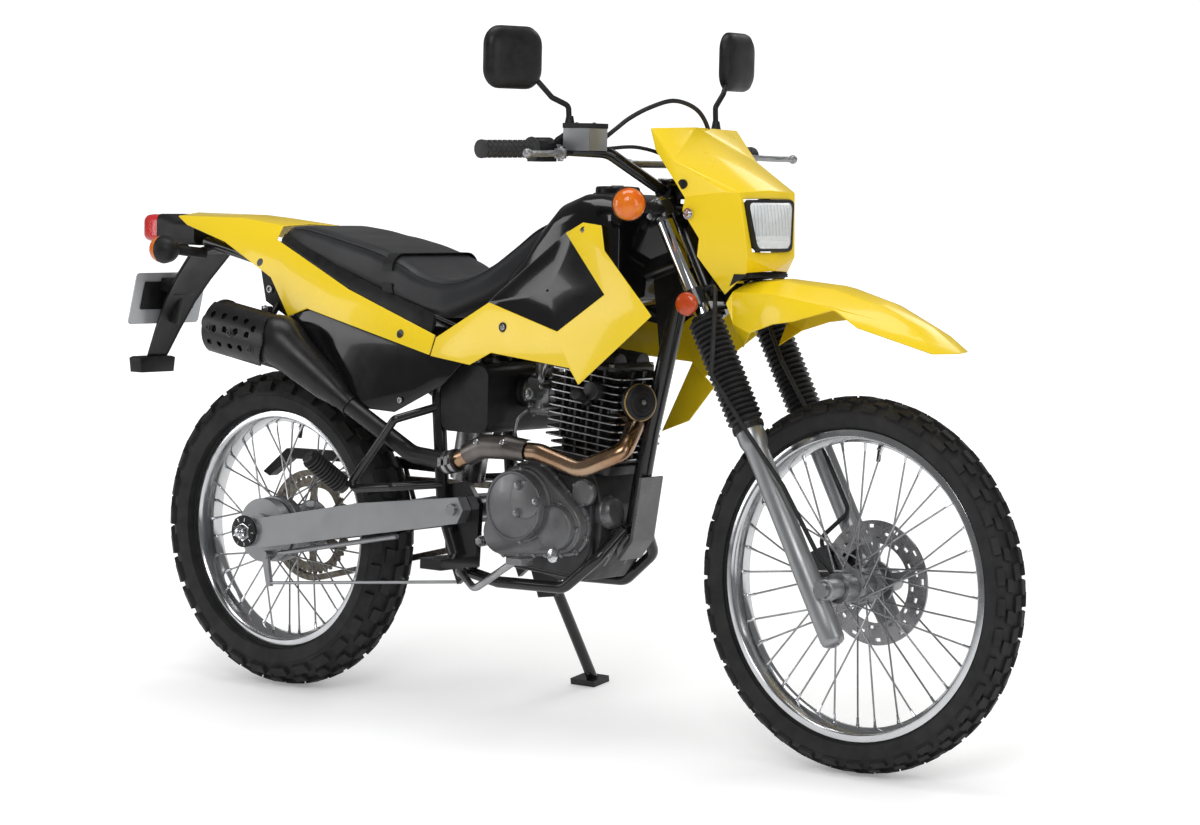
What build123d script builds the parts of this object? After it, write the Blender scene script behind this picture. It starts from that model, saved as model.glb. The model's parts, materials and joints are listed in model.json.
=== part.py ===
from build123d import *
import math
import os

# Dual sport motorcycle in millimetres, leaning on its side stand.
# Everything is modelled upright: X forward, Y to the rider's left, Z up from the ground. The front
# axle stays FRONT_X ahead of the origin and the wheelbase places the rear one. The last section leans the whole machine and moves it to its own origin.

# ---------- Driving dimensions ----------
WHEELBASE = 1405.0
FRONT_X = 1405.0
LEAN_DEG = 9.0
RAKE_DEG = 28.5
AXLE_OFFSET = 68.0  # wheel axis ahead of the steering axis
LEG_OFFSET = 35.0  # fork legs ahead of the steering axis
LEG_Y = 95.0

FRONT_TYRE = dict(radius=336.0, half_width=37.0, crown=43.0, bead=266.5, flange_y=26.0, flange_r=277.0)
REAR_TYRE = dict(radius=319.0, half_width=54.0, crown=56.0, bead=228.5, flange_y=32.0, flange_r=239.0)
TYRE_WALL = 9.0
BEAD_FIT = 0.3
RIM_WALL = 3.0
RIM_DROP = 9.0
SPOKE_R = 1.8
SPOKE_COUNT = 36
NIPPLE_R = 3.2
NIPPLE_LENGTH = 16.0

RUNNING_FIT = 0.05  # radial gap between a shaft and its bore
BODY_GAP = 5.0  # between pieces that move past each other
SEAT_GAP = 0.3  # between a soft or curved piece and what carries it

AXLE_R = 7.5
STEM_R = 14.0
HEAD_R = 25.0
HEAD_LOW = 604.0  # along the steering axis, from its foot level with the front axle
HEAD_HIGH = 734.0
YOKE_THICK = 32.0
YOKE_GAP = 8.0
FORK_TUBE_R = 17.5
SLIDER_R = 22.0
FORK_TOP = 776.0

SEAT_TUBE_R = 11.0
CHAIN_Y = 70.0
CHAIN_WIDTH = 16.0
CHAIN_HEIGHT = 12.0
SPROCKET_TIP_R = 101.0
CHAIN_RUN_GAP = 0.6
DRIVE_SPROCKET = (622.0, 402.0)  # x, z
DRIVE_SPROCKET_R = 32.0
PIVOT = (549.0, 408.0)  # x, z
ARM_Y = 110.0
ARM_WIDTH = 26.0
PANEL = 3.5  # bodywork thickness

REAR_AXLE = (FRONT_X - WHEELBASE, REAR_TYRE["radius"])  # x, z
FRONT_AXLE = (FRONT_X, FRONT_TYRE["radius"])
STEER_BASE_R = 336.0  # front wheel radius the steering tables were drawn for
FRONT_RISE = FRONT_TYRE["radius"] - STEER_BASE_R
RAKE = math.radians(RAKE_DEG)
LEAN = math.radians(LEAN_DEG)
AXIS_FOOT = (
    FRONT_X - AXLE_OFFSET * math.cos(RAKE),
    FRONT_TYRE["radius"] - AXLE_OFFSET * math.sin(RAKE),
)


# ---------- Shape helpers ----------
def steer(up, ahead=0.0, y=0.0):
    """Point by its distances along the steering axis and ahead of it."""
    x = AXIS_FOOT[0] - up * math.sin(RAKE) + ahead * math.cos(RAKE)
    z = AXIS_FOOT[1] + up * math.cos(RAKE) + ahead * math.sin(RAKE)
    return Vector(x, y, z)


STEER_UP = steer(1) - steer(0)
STEER_AHEAD = steer(0, 1) - steer(0)


def raised(point):
    """A point of the steering tables, at the height the front wheel gives it."""
    return (point[0], point[1], point[2] + FRONT_RISE)


def steer_plane(up, ahead=0.0, y=0.0):
    return Plane(origin=steer(up, ahead, y), x_dir=STEER_AHEAD, z_dir=STEER_UP)


def rod(start, end, radius, bore=0.0):
    start, end = Vector(start), Vector(end)
    ring = Circle(radius) - Circle(bore) if bore else Circle(radius)
    return extrude(Plane(origin=start, z_dir=end - start) * ring, (end - start).length)


def cross_rod(x, z, y_low, y_high, radius, bore=0.0):
    return rod((x, y_low, z), (x, y_high, z), radius, bore)


def pipe(points, radius, bend=30.0, bore=0.0):
    """Tube of straight runs joined by tangent arcs."""
    path = FilletPolyline(*points, radius=bend)
    ring = Circle(radius) - Circle(bore) if bore else Circle(radius)
    return sweep(Plane(origin=path @ 0, z_dir=path % 0) * ring, path=path)


def turned(outline, at, along):
    """Solid of revolution from (distance along, radius) points."""
    at, along = Vector(at), Vector(along).normalized()
    side = Vector(1, 0, 0) if abs(along.Z) > 0.5 else Vector(0, 0, 1)
    plane = Plane(origin=at, x_dir=along, z_dir=along.cross(side))
    return revolve(plane * make_face(Polyline(*outline, close=True)), Axis(at, along), 360)


def bands(arc, count):
    """Points at even steps along an arc, for a surface of narrow cones."""
    return [tuple(arc @ (i / count))[:2] for i in range(count + 1)]


def plate(outline, y_low, y_high):
    """Flat plate from its side view in (x, z) points."""
    plane = Plane(origin=(0, y_low, 0), x_dir=(1, 0, 0), z_dir=(0, -1, 0))
    return extrude(plane * make_face(Polyline(*outline, close=True)), -(y_high - y_low))


def block(low, high):
    size = [b - a for a, b in zip(low, high)]
    centre = [(a + b) / 2 for a, b in zip(low, high)]
    return Pos(*centre) * Box(*size)


def both(shape):
    return shape + mirror(shape, Plane.XZ)


def nearest(shape, point):
    """The one solid of a cut shape that holds its seat."""
    point = Vector(*point)
    return Part(min(shape.solids(), key=lambda solid: solid.distance_to(point)).wrapped)


def without(shape, *others):
    """Shape cut back to the faces of its neighbours."""
    for other in others:
        shape = shape - other
    return shape


def skin(points, facets, thickness, mirrored=True):
    """Faceted panel of even thickness. Facets name their corners; the other half is mirrored in y."""
    corners = {name: Vector(*p) for name, p in points.items()}
    triangles = [tuple(f) for f in facets]
    if mirrored:
        twin = {name: name + "'" if abs(p.Y) > 1e-6 else name for name, p in corners.items()}
        for name, other in twin.items():
            if other != name:
                corners[other] = Vector(corners[name].X, -corners[name].Y, corners[name].Z)
        triangles += [tuple(twin[name] for name in reversed(f)) for f in facets]
    outward = {name: Vector(0, 0, 0) for name in corners}
    edges = {}
    for a, b, c in triangles:
        normal = (corners[b] - corners[a]).cross(corners[c] - corners[a]).normalized()
        for name in (a, b, c):
            outward[name] = outward[name] + normal
        for edge in ((a, b), (b, c), (c, a)):
            edges[edge] = True
    inner = {name: corners[name] - outward[name].normalized() * thickness for name in corners}
    rings = [[corners[n] for n in f] for f in triangles]
    rings += [[inner[n] for n in reversed(f)] for f in triangles]
    for a, b in edges:
        if (b, a) not in edges:
            rings += [[corners[b], corners[a], inner[a]], [corners[b], inner[a], inner[b]]]
    faces = [Face(Wire.make_polygon(ring, close=True)) for ring in rings]
    return Part(Solid(Shell(faces)).wrapped)


def loft_blocks(stations):
    """Body through upright rounded sections, from (x, z low, z high, half width, corner) rows."""
    faces = []
    for x, low, high, half, corner in stations:
        plane = Plane(origin=(x, 0, (low + high) / 2), x_dir=(0, 1, 0), z_dir=(1, 0, 0))
        faces.append(plane * RectangleRounded(2 * half, high - low, corner))
    return loft(faces, ruled=True)


nodes = {}


# ---------- Wheels ----------
def tyre(size, centre):
    """Hollow tyre out to its lugs' tips, open at the rim."""
    radius, half, bead = size["radius"], size["half_width"], size["bead"]
    lip = size["flange_y"] - RIM_WALL / 2 - BEAD_FIT
    shoulder_y = half - 2
    crown = size["crown"]
    shoulder = radius - crown + math.sqrt(crown**2 - shoulder_y**2)
    flank = (bead + shoulder) / 2
    outer_bead = (lip, size["flange_r"] + 3)
    toe = lip - 6
    inside = radius - TYRE_WALL * 1.4
    wall = bands(ThreePointArc(outer_bead, (half, flank + 8), (shoulder_y, shoulder)), 6)
    tread = bands(ThreePointArc((shoulder_y, shoulder), (0, radius), (-shoulder_y, shoulder)), 12)
    inner_bead = (toe, size["flange_r"] + 3)
    inner = bands(ThreePointArc(inner_bead, (half - TYRE_WALL * 1.2, flank + 8), (0, inside)), 6)
    inner = [(toe, bead)] + inner
    side = [(toe, bead), (lip, bead)] + wall[:-1]
    outline = list(reversed(inner[1:])) + side + tread[:-1] + [(-y, r) for y, r in reversed(side)]
    outline += [(-y, r) for y, r in inner[1:-1]]
    return turned(outline, (centre[0], 0, centre[1]), (0, 1, 0))


# rows: y, lugs a side, length, width, start as a part of the pitch
FRONT_LUGS = [(11, 30, 36, 17, 0.0), (28, 30, 30, 12, 0.5)]
REAR_LUGS = [(15, 26, 40, 22, 0.0), (40, 26, 34, 17, 0.5)]
FRONT_LUG_DEPTH = 7.0
REAR_LUG_DEPTH = 9.0
LUG_ROOT = 3.0


def treaded(size, centre, rows, depth):
    """Tyre with its tread blocks fused on."""
    carcass = dict(size, radius=size["radius"] - depth)
    crown = size["crown"]
    lugs = []
    for y, count, length, width, start in rows:
        tilt = math.degrees(math.asin(y / crown))
        sag = width**2 / (8 * crown) + length**2 / (8 * size["radius"])  # puts a flat lug's corners on the crown
        height = depth - sag + LUG_ROOT
        for i in range(count):
            for side in (-1, 1):
                turn = 360 * (i + start + (0.25 if side > 0 else 0)) / count
                at = Pos(centre[0], 0, centre[1]) * Rot(0, turn, 0) * Pos(0, 0, carcass["radius"] - crown)
                lug = Rot(-side * tilt, 0, 0) * Pos(0, 0, crown - LUG_ROOT + height / 2) * Box(length, width, height)
                lugs.append(at * lug)
    return Part() + [tyre(carcass, centre), *lugs]


def rim_outline(size):
    edge = size["flange_y"] + RIM_WALL / 2
    lip = size["flange_y"] - RIM_WALL / 2
    bead = size["bead"] - BEAD_FIT
    half = [
        (0, bead - RIM_DROP),
        (lip * 0.45, bead - RIM_DROP),
        (lip - 8, bead),
        (lip, bead),
        (lip, size["flange_r"]),
        (edge, size["flange_r"]),
        (edge, bead - RIM_WALL),
        (lip * 0.5, bead - RIM_DROP - RIM_WALL),
        (0, bead - RIM_DROP - RIM_WALL),
    ]
    return half[:-1] + [(-y, r) for y, r in reversed(half[1:])]


def spokes(size, centre, hubs):
    """Crossed spokes with nipples. Each hub row: side, flange y inner, flange y outer, radius, spread."""
    well = size["bead"] - RIM_DROP - RIM_WALL
    pieces = []
    for i in range(SPOKE_COUNT):
        side, y_in, y_out, hub_r, spread = hubs[i % 2]
        turn = 1 if (i // 2) % 2 else -1
        rim_a = math.radians(360 * i / SPOKE_COUNT)
        hub_a = rim_a + turn * math.radians(spread)
        y_hub = side * (y_out if turn > 0 else y_in)
        start = Vector(centre[0] + hub_r * math.sin(hub_a), y_hub, centre[1] + hub_r * math.cos(hub_a))
        end = Vector(centre[0] + well * math.sin(rim_a), side * 5, centre[1] + well * math.cos(rim_a))
        run = (end - start).normalized()
        pieces.append(rod(start, end + run * 1.0, SPOKE_R))
        pieces.append(rod(end - run * NIPPLE_LENGTH, end + run * 1.0, NIPPLE_R))
    return pieces


FRONT_HUB = dict(half=34.0, flange_y=29.0, flange_r=33.0, body_r=21.0, disc_y=47.0)
DISC_R = 112.0
DISC_INNER_R = 72.0
DISC_THICK = 4.0
DISC_HOLE_R = 4.5
DISC_HOLE_ROWS = [(88, 10, 0.0), (98, 20, 0.25)]  # radius, count, start as a part of the pitch
CARRIER_R = 40.0


def front_wheel():
    bore = AXLE_R + RUNNING_FIT
    h = FRONT_HUB
    hub = turned(
        [
            (-h["half"], bore),
            (-h["half"], 24),
            (-h["flange_y"] - 3, h["flange_r"]),
            (-h["flange_y"] + 3, h["flange_r"]),
            (-h["flange_y"] + 6, h["body_r"]),
            (h["flange_y"] - 6, h["body_r"]),
            (h["flange_y"] - 3, h["flange_r"]),
            (h["flange_y"] + 3, h["flange_r"]),
            (h["flange_y"] + 5, 26),
            (h["disc_y"] - 3, 26),
            (h["disc_y"] - 3, CARRIER_R),
            (h["disc_y"] + 3, CARRIER_R),
            (h["disc_y"] + 3, bore),
        ],
        (FRONT_AXLE[0], 0, FRONT_AXLE[1]),
        (0, 1, 0),
    )
    rim = turned(rim_outline(FRONT_TYRE), (FRONT_AXLE[0], 0, FRONT_AXLE[1]), (0, 1, 0))
    disc_low, disc_high = h["disc_y"] - DISC_THICK / 2, h["disc_y"] + DISC_THICK / 2
    disc = cross_rod(*FRONT_AXLE, disc_low, disc_high, DISC_R, DISC_INNER_R)
    for radius, count, start in DISC_HOLE_ROWS:
        for i in range(count):
            a = 2 * math.pi * (i + start) / count
            at = (FRONT_AXLE[0] + radius * math.sin(a), FRONT_AXLE[1] + radius * math.cos(a))
            disc -= cross_rod(*at, disc_low - 1, disc_high + 1, DISC_HOLE_R)
    arms = []
    for i in range(5):
        a = math.radians(72 * i)
        tip = (FRONT_AXLE[0] + 80 * math.sin(a), FRONT_AXLE[1] + 80 * math.cos(a))
        arm = plate([(-8, 30), (8, 30), (7, 80), (-7, 80)], disc_low, disc_high)
        arms.append(Pos(FRONT_AXLE[0], 0, FRONT_AXLE[1]) * Rot(0, 72 * i, 0) * arm)
        arms.append(cross_rod(*tip, disc_low - 2, disc_high + 2, 8))
    rows = [(1, 24, 31, 30, 62), (-1, 24, 31, 30, 62)]
    return Part() + [hub, rim, disc] + arms + spokes(FRONT_TYRE, FRONT_AXLE, rows)


REAR_HUB = dict(drum_r=66.0, drum_low=-50.0, drum_high=-16.0, body_r=30.0, flange_y=30.0, flange_r=46.0)
SPROCKET_THICK = 6.0
SPROCKET_TEETH = 41
TOOTH_DEPTH = 5.0


def rear_wheel():
    bore = AXLE_R + RUNNING_FIT
    h = REAR_HUB
    sprocket_in = CHAIN_Y - SPROCKET_THICK / 2
    sprocket_out = CHAIN_Y + SPROCKET_THICK / 2
    hub = turned(
        [
            (h["drum_low"], bore),
            (h["drum_low"], h["drum_r"]),
            (h["drum_high"], h["drum_r"]),
            (h["drum_high"] + 8, h["body_r"]),
            (h["flange_y"] - 4, h["body_r"]),
            (h["flange_y"] - 2, h["flange_r"]),
            (h["flange_y"] + 4, h["flange_r"]),
            (h["flange_y"] + 8, 38),
            (sprocket_in, 38),
            (sprocket_in, 52),
            (sprocket_out, 52),
            (sprocket_out, 30),
            (sprocket_out + 4, 22),
            (sprocket_out + 4, bore),
        ],
        (REAR_AXLE[0], 0, REAR_AXLE[1]),
        (0, 1, 0),
    )
    rim = turned(rim_outline(REAR_TYRE), (REAR_AXLE[0], 0, REAR_AXLE[1]), (0, 1, 0))
    teeth = []
    for i in range(4 * SPROCKET_TEETH):
        a = 2 * math.pi * (i + 0.5) / (4 * SPROCKET_TEETH)
        r = SPROCKET_TIP_R if i % 4 < 2 else SPROCKET_TIP_R - TOOTH_DEPTH
        teeth.append((REAR_AXLE[0] + r * math.sin(a), REAR_AXLE[1] + r * math.cos(a)))
    hole = cross_rod(*REAR_AXLE, sprocket_in, sprocket_out, SPROCKET_TIP_R - 22)
    ring = plate(teeth, sprocket_in, sprocket_out) - hole
    arms = []
    for i in range(6):
        arm = plate([(-9, 45), (9, 45), (9, SPROCKET_TIP_R - 14), (-9, SPROCKET_TIP_R - 14)], sprocket_in, sprocket_out)
        arms.append(Pos(REAR_AXLE[0], 0, REAR_AXLE[1]) * Rot(0, 60 * i, 0) * arm)
    rows = [(1, 27, 33, 42, 46), (-1, 22, 32, 62, 36)]
    return Part() + [hub, rim, ring] + arms + spokes(REAR_TYRE, REAR_AXLE, rows)


nodes["front_tyre"] = treaded(FRONT_TYRE, FRONT_AXLE, FRONT_LUGS, FRONT_LUG_DEPTH)
nodes["rear_tyre"] = treaded(REAR_TYRE, REAR_AXLE, REAR_LUGS, REAR_LUG_DEPTH)
nodes["front_wheel"] = front_wheel()
nodes["rear_wheel"] = rear_wheel()

# ---------- Fork and steering ----------
YOKE_LOW = (HEAD_LOW - YOKE_GAP - YOKE_THICK, HEAD_LOW - YOKE_GAP)
YOKE_HIGH = (HEAD_HIGH + YOKE_GAP, HEAD_HIGH + YOKE_GAP + YOKE_THICK - 4)
CLAMP_R = 27.0
SLIDER_LOW = -92.0
SLIDER_HIGH = 300.0
FLARE_HIGH = 327.0
FLARE_R = 26.0
GAITER = dict(low=327.0, high=540.0, ribs=21, r_root=27.0, r_crest=33.0)
LUG_R = 19.0
LUG_OUT = 112.0
LUG_IN = 72.0


def yoke(span):
    """Triple clamp: two split clamps and the stem boss joined by a web."""
    low, high = span
    height = high - low
    legs = [rod(steer(low, LEG_OFFSET, y), steer(high, LEG_OFFSET, y), CLAMP_R) for y in (-LEG_Y, LEG_Y)]
    boss = rod(steer(low), steer(high), STEM_R + 12)
    web = [(-16, -30), (LEG_OFFSET - 14, -LEG_Y), (LEG_OFFSET + 20, -LEG_Y), (LEG_OFFSET + 8, 0)]
    web += [(LEG_OFFSET + 20, LEG_Y), (LEG_OFFSET - 14, LEG_Y), (-16, 30)]
    bar = extrude(steer_plane(low + 4) * make_face(Polyline(*web, close=True)), height - 8)
    return boss + bar + legs


def fork_tube(y, low, high):
    return rod(steer(low, LEG_OFFSET, y), steer(high, LEG_OFFSET, y), FORK_TUBE_R)


stem = rod(steer(YOKE_LOW[0] - 6), steer(YOKE_HIGH[1] + 8), STEM_R)
nodes["fork_yokes"] = without(
    yoke(YOKE_LOW) + yoke(YOKE_HIGH) + stem, fork_tube(-LEG_Y, 0, 900), fork_tube(LEG_Y, 0, 900)
)
nodes["fork_tubes"] = fork_tube(-LEG_Y, SLIDER_HIGH, FORK_TOP) + fork_tube(LEG_Y, SLIDER_HIGH, FORK_TOP)


def slider(y):
    leg = turned(
        [
            (SLIDER_LOW, 0),
            (SLIDER_LOW, SLIDER_R),
            (SLIDER_HIGH - 14, SLIDER_R),
            (SLIDER_HIGH, FLARE_R),
            (FLARE_HIGH, FLARE_R),
            (FLARE_HIGH, 0),
        ],
        steer(0, LEG_OFFSET, y),
        STEER_UP,
    )
    side = 1 if y > 0 else -1
    lug = cross_rod(*FRONT_AXLE, side * LUG_IN, side * LUG_OUT, LUG_R)
    ring = [(0, -14), (AXLE_OFFSET - LEG_OFFSET, -14), (AXLE_OFFSET - LEG_OFFSET, 14), (0, 14)]
    web = extrude(steer_plane(-LUG_R, LEG_OFFSET, y) * make_face(Polyline(*ring, close=True)), 2 * LUG_R)
    bore = cross_rod(*FRONT_AXLE, side * (LUG_IN - 10), side * (LUG_OUT + 20), AXLE_R)
    return leg + lug + web - fork_tube(y, SLIDER_HIGH, FORK_TOP) - bore


nodes["fork_sliders"] = slider(-LEG_Y) + slider(LEG_Y)


def gaiter(y):
    g = GAITER
    pitch = (g["high"] - g["low"]) / g["ribs"]
    outline = [(g["low"], FORK_TUBE_R)]
    for i in range(g["ribs"]):
        outline.append((g["low"] + i * pitch, g["r_root"]))
        outline.append((g["low"] + (i + 0.5) * pitch, g["r_crest"]))
    outline += [(g["high"], g["r_root"]), (g["high"], FORK_TUBE_R)]
    return turned(outline, steer(0, LEG_OFFSET, y), STEER_UP)


nodes["fork_gaiters"] = gaiter(-LEG_Y) + gaiter(LEG_Y)

SPEEDO_R = 27.0
front_hub_end = FRONT_HUB["half"] + BODY_GAP
axle_bar = cross_rod(*FRONT_AXLE, -LUG_OUT - 12, LUG_OUT + 6, AXLE_R)
axle_head = cross_rod(*FRONT_AXLE, -LUG_OUT - 12, -LUG_OUT, 14)
axle_nut = cross_rod(*FRONT_AXLE, LUG_OUT, LUG_OUT + 6, 12)
speedo_drive = cross_rod(*FRONT_AXLE, -LUG_IN, -front_hub_end, SPEEDO_R)
left_spacer = cross_rod(*FRONT_AXLE, FRONT_HUB["disc_y"] + 3 + BODY_GAP, LUG_IN, 13)
nodes["front_axle"] = axle_bar + axle_head + axle_nut + speedo_drive + left_spacer

# Caliper astride the disc, behind the left fork leg
CALIPER_UP = 62.0
CALIPER_AHEAD = AXLE_OFFSET - 84.0
caliper_plane = steer_plane(CALIPER_UP, CALIPER_AHEAD, 0)
caliper_body = caliper_plane * Pos(0, FRONT_HUB["disc_y"] + 4, 0) * Box(44, 46, 78)
disc_slot = cross_rod(
    *FRONT_AXLE,
    FRONT_HUB["disc_y"] - DISC_THICK / 2 - BODY_GAP / 2,
    FRONT_HUB["disc_y"] + DISC_THICK / 2 + BODY_GAP / 2,
    DISC_R + BODY_GAP,
)
caliper_ear = caliper_plane * Pos(30, FRONT_HUB["disc_y"] + 21, 0) * Box(40, 12, 60)
nodes["brake_caliper"] = without(caliper_body - disc_slot + caliper_ear, nodes["fork_sliders"])

# Handlebar: x, |y|, z
BAR_R = 11.0
BAR_TABLE = [(987, 0, 1024), (987, 62, 1024), (938, 160, 1090), (866, 245, 1094), (844, 400, 1091)]
BAR_POINTS = [raised(p) for p in BAR_TABLE]
CROSSBAR = [raised((953.3, 130, 1069.8)), raised((953.3, -130, 1069.8))]
bar_right = [(x, -y, z) for x, y, z in reversed(BAR_POINTS)]
bar = pipe(bar_right[:-1] + BAR_POINTS[1:], BAR_R, bend=45)
crossbar = without(rod(*CROSSBAR, 6), bar)
clamps = []
for clamp_y in (-45, 45):
    foot = steer(YOKE_HIGH[1] - 4, 22, clamp_y)
    clamps.append(rod(foot, (BAR_POINTS[0][0], clamp_y, BAR_POINTS[0][2]), 14))
    clamps.append(cross_rod(BAR_POINTS[0][0], BAR_POINTS[0][2], clamp_y - 14, clamp_y + 14, 19))
handlebar = without(Part() + clamps, bar, nodes["fork_yokes"]) + bar + crossbar
nodes["handlebar"] = handlebar

GRIP_LENGTH = 122.0
GRIP_R = 16.0
bar_end = Vector(*BAR_POINTS[-1])
bar_run = (Vector(*BAR_POINTS[-1]) - Vector(*BAR_POINTS[-2])).normalized()
grip_in = bar_end - bar_run * GRIP_LENGTH
grip = rod(grip_in, bar_end + bar_run * 3, GRIP_R) - rod(grip_in, bar_end, BAR_R)
grip += rod(grip_in, grip_in + bar_run * 5, GRIP_R + 6) - rod(grip_in, bar_end, BAR_R)
nodes["grips"] = both(grip)


LEVER_TABLE = [(930, 300, 1086), (944, 345, 1085), (948, 394, 1085)]
LEVER_BALL = (948, 396, 1085)
MIRROR_MAST = (899, 214, 1120)


def hand_control():
    """Left hand side: switch box, lever perch and lever."""
    bar_cut = pipe(BAR_POINTS, BAR_R, bend=45)
    switch = rod(grip_in - bar_run * 40, grip_in - bar_run * 1, 21)
    perch_at = grip_in - bar_run * 62
    perch = rod(perch_at - bar_run * 10, perch_at + bar_run * 10, 18)
    arm = rod(perch_at, perch_at + Vector(46, 6, -4), 9)
    pivot = Vector(*raised((912, 262, 1086)))
    knuckle = rod(perch_at + Vector(20, 0, -2), pivot, 9)
    blade = [raised(p) for p in LEVER_TABLE]
    lever = pipe([pivot, *blade], 6.5, bend=25)
    ball = Pos(*raised(LEVER_BALL)) * Sphere(9)
    mast = rod(perch_at + Vector(0, 0, 4), raised(MIRROR_MAST), 9)
    return without(Part() + [switch, perch, arm, knuckle, mast, lever, ball], bar_cut)


left_control = hand_control()
RESERVOIR = [raised((900, -238, 1092)), raised((958, -190, 1142))]
reservoir = without(block(*RESERVOIR), both(left_control), nodes["handlebar"])
nodes["hand_controls"] = both(left_control) + reservoir

# Mirrors: stems from the perches, heads with their glass to the rear
MIRROR_SIZE = (24.0, 126.0, 112.0)
MIRRORS = {
    "left": ([(898, 214, 1128), (897, 212, 1180), (900, 232, 1206), (888, 262, 1236)], (884, 300, 1268), 1),
    "right": ([(892, -214, 1128), (887, -212, 1172), (868, -236, 1186), (856, -262, 1214)], (848, -318, 1255), -1),
}
mirror_parts = []
for stem_table, centre_table, side in MIRRORS.values():
    stem_points, centre = [raised(p) for p in stem_table], raised(centre_table)
    stalk = pipe(stem_points, 5.5, bend=12)
    head = Pos(*centre) * Rot(0, 0, 11 * side) * fillet(Box(*MIRROR_SIZE).edges().filter_by(Axis.X), 30)
    joint = rod(stem_points[-1], centre, 7)
    mirror_parts += [stalk, head, joint]
nodes["mirrors"] = without(Part() + mirror_parts, nodes["hand_controls"])

# ---------- Cowl, lamp, meter ----------
# name: x, y, z of the left half
COWL_POINTS = {
    "top mid": (1014, 0, 1140),
    "top": (1012, 128, 1136),
    "fold": (1062, 126, 1078),
    "fold low": (1163, 98, 1024),
    "brow mid": (1184, 0, 1028),
    "brow": (1180, 84, 1024),
    "back a": (1027, 134, 1096),
    "back b": (1094, 132, 1012),
    "back c": (1089, 132, 989),
    "back d": (1117, 118, 940),
    "back e": (1109, 112, 908),
    "back f": (1146, 75, 840),
    "jaw": (1192, 72, 908),
    "jaw mid": (1198, 0, 908),
    "chin": (1184, 62, 880),
    "chin mid": (1202, 0, 884),
    "lamp top mid": (1184, 0, 1013),
    "lamp top": (1181, 73, 1012),
    "lamp low": (1191, 56, 918),
    "lamp low mid": (1195, 0, 917),
}
COWL_FACETS = [
    ("top mid", "fold", "top"),
    ("top mid", "brow", "fold"),
    ("top mid", "brow mid", "brow"),
    ("fold", "brow", "fold low"),
    ("top", "fold", "back a"),
    ("fold", "back b", "back a"),
    ("fold", "fold low", "back b"),
    ("fold low", "back c", "back b"),
    ("fold low", "back d", "back c"),
    ("fold low", "jaw", "back d"),
    ("fold low", "brow", "jaw"),
    ("jaw", "back e", "back d"),
    ("jaw", "chin", "back e"),
    ("chin", "back f", "back e"),
    ("brow mid", "lamp top", "brow"),
    ("brow mid", "lamp top mid", "lamp top"),
    ("brow", "lamp top", "lamp low"),
    ("brow", "lamp low", "jaw"),
    ("jaw", "lamp low", "lamp low mid"),
    ("jaw", "lamp low mid", "jaw mid"),
    ("jaw", "jaw mid", "chin mid"),
    ("jaw", "chin mid", "chin"),
]
cowl = skin({name: raised(p) for name, p in COWL_POINTS.items()}, COWL_FACETS, PANEL)

LAMP_FRONT = [(-71, 1010), (71, 1010), (54, 920), (-54, 920)]
LAMP_BACK = [(-40, 1000), (40, 1000), (34, 930), (-34, 930)]


def lamp_section(outline, x):
    plane = Plane(origin=(x, 0, FRONT_RISE), x_dir=(0, 1, 0), z_dir=(1, 0, 0))
    return plane * make_face(Polyline(*outline, close=True))


lamp_bowl = loft([lamp_section(LAMP_FRONT, 1180), lamp_section(LAMP_BACK, 1098)], ruled=True)
lamp_bowl += extrude(lamp_section(LAMP_FRONT, 1180), 8)
lamp_stays = []
for side in (-1, 1):
    lamp_stays.append(rod(steer(YOKE_HIGH[0] + 14, LEG_OFFSET, side * 70), raised((1128, side * 44, 985)), 6))
    lamp_stays.append(rod(steer(YOKE_LOW[0] + 16, LEG_OFFSET, side * 70), raised((1128, side * 38, 945)), 6))
    lamp_stays.append(rod(raised((1128, side * 44, 985)), raised((1092, side * 129, 1000)), 5))
lamp_all = lamp_bowl + lamp_stays
nodes["headlamp"] = without(lamp_all, nodes["fork_yokes"], nodes["fork_tubes"], cowl)
nodes["headlamp_cowl"] = cowl

METER_AXIS = Vector(-0.5, 0, 0.866)
METER_AT = Vector(*raised((1068, 0, 1022)))
meter = rod(METER_AT, METER_AT + METER_AXIS * 48, 42)
meter_stay = rod(steer(YOKE_HIGH[1] - 6, 30, 0), METER_AT + METER_AXIS * 10, 9)
nodes["meter"] = without(meter + meter_stay, nodes["fork_yokes"], nodes["handlebar"])

# ---------- Front fender ----------
FENDER_POINTS = {
    "mid a": (1160, 0, 866),
    "mid b": (1240, 0, 872),
    "mid c": (1356, 0, 864),
    "mid d": (1453, 0, 838),
    "mid e": (1540, 0, 799),
    "tip": (1600, 0, 757),
    "top a": (1162, 32, 862),
    "top b": (1240, 38, 868),
    "top c": (1356, 38, 858),
    "top d": (1453, 32, 833),
    "top e": (1540, 24, 796),
    "rib a": (1158, 70, 846),
    "rib b": (1250, 74, 846),
    "rib c": (1360, 78, 832),
    "rib d": (1460, 66, 812),
    "rib e": (1552, 46, 782),
    "edge a": (1156, 84, 826),
    "edge b": (1172, 84, 788),
    "edge c": (1207, 80, 774),
    "edge d": (1262, 88, 793),
    "edge e": (1307, 92, 800),
    "edge f": (1395, 89, 826),
    "edge g": (1448, 95, 797),
    "edge h": (1581, 56, 757),
    "skirt": (1174, 54, 745),
}
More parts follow.
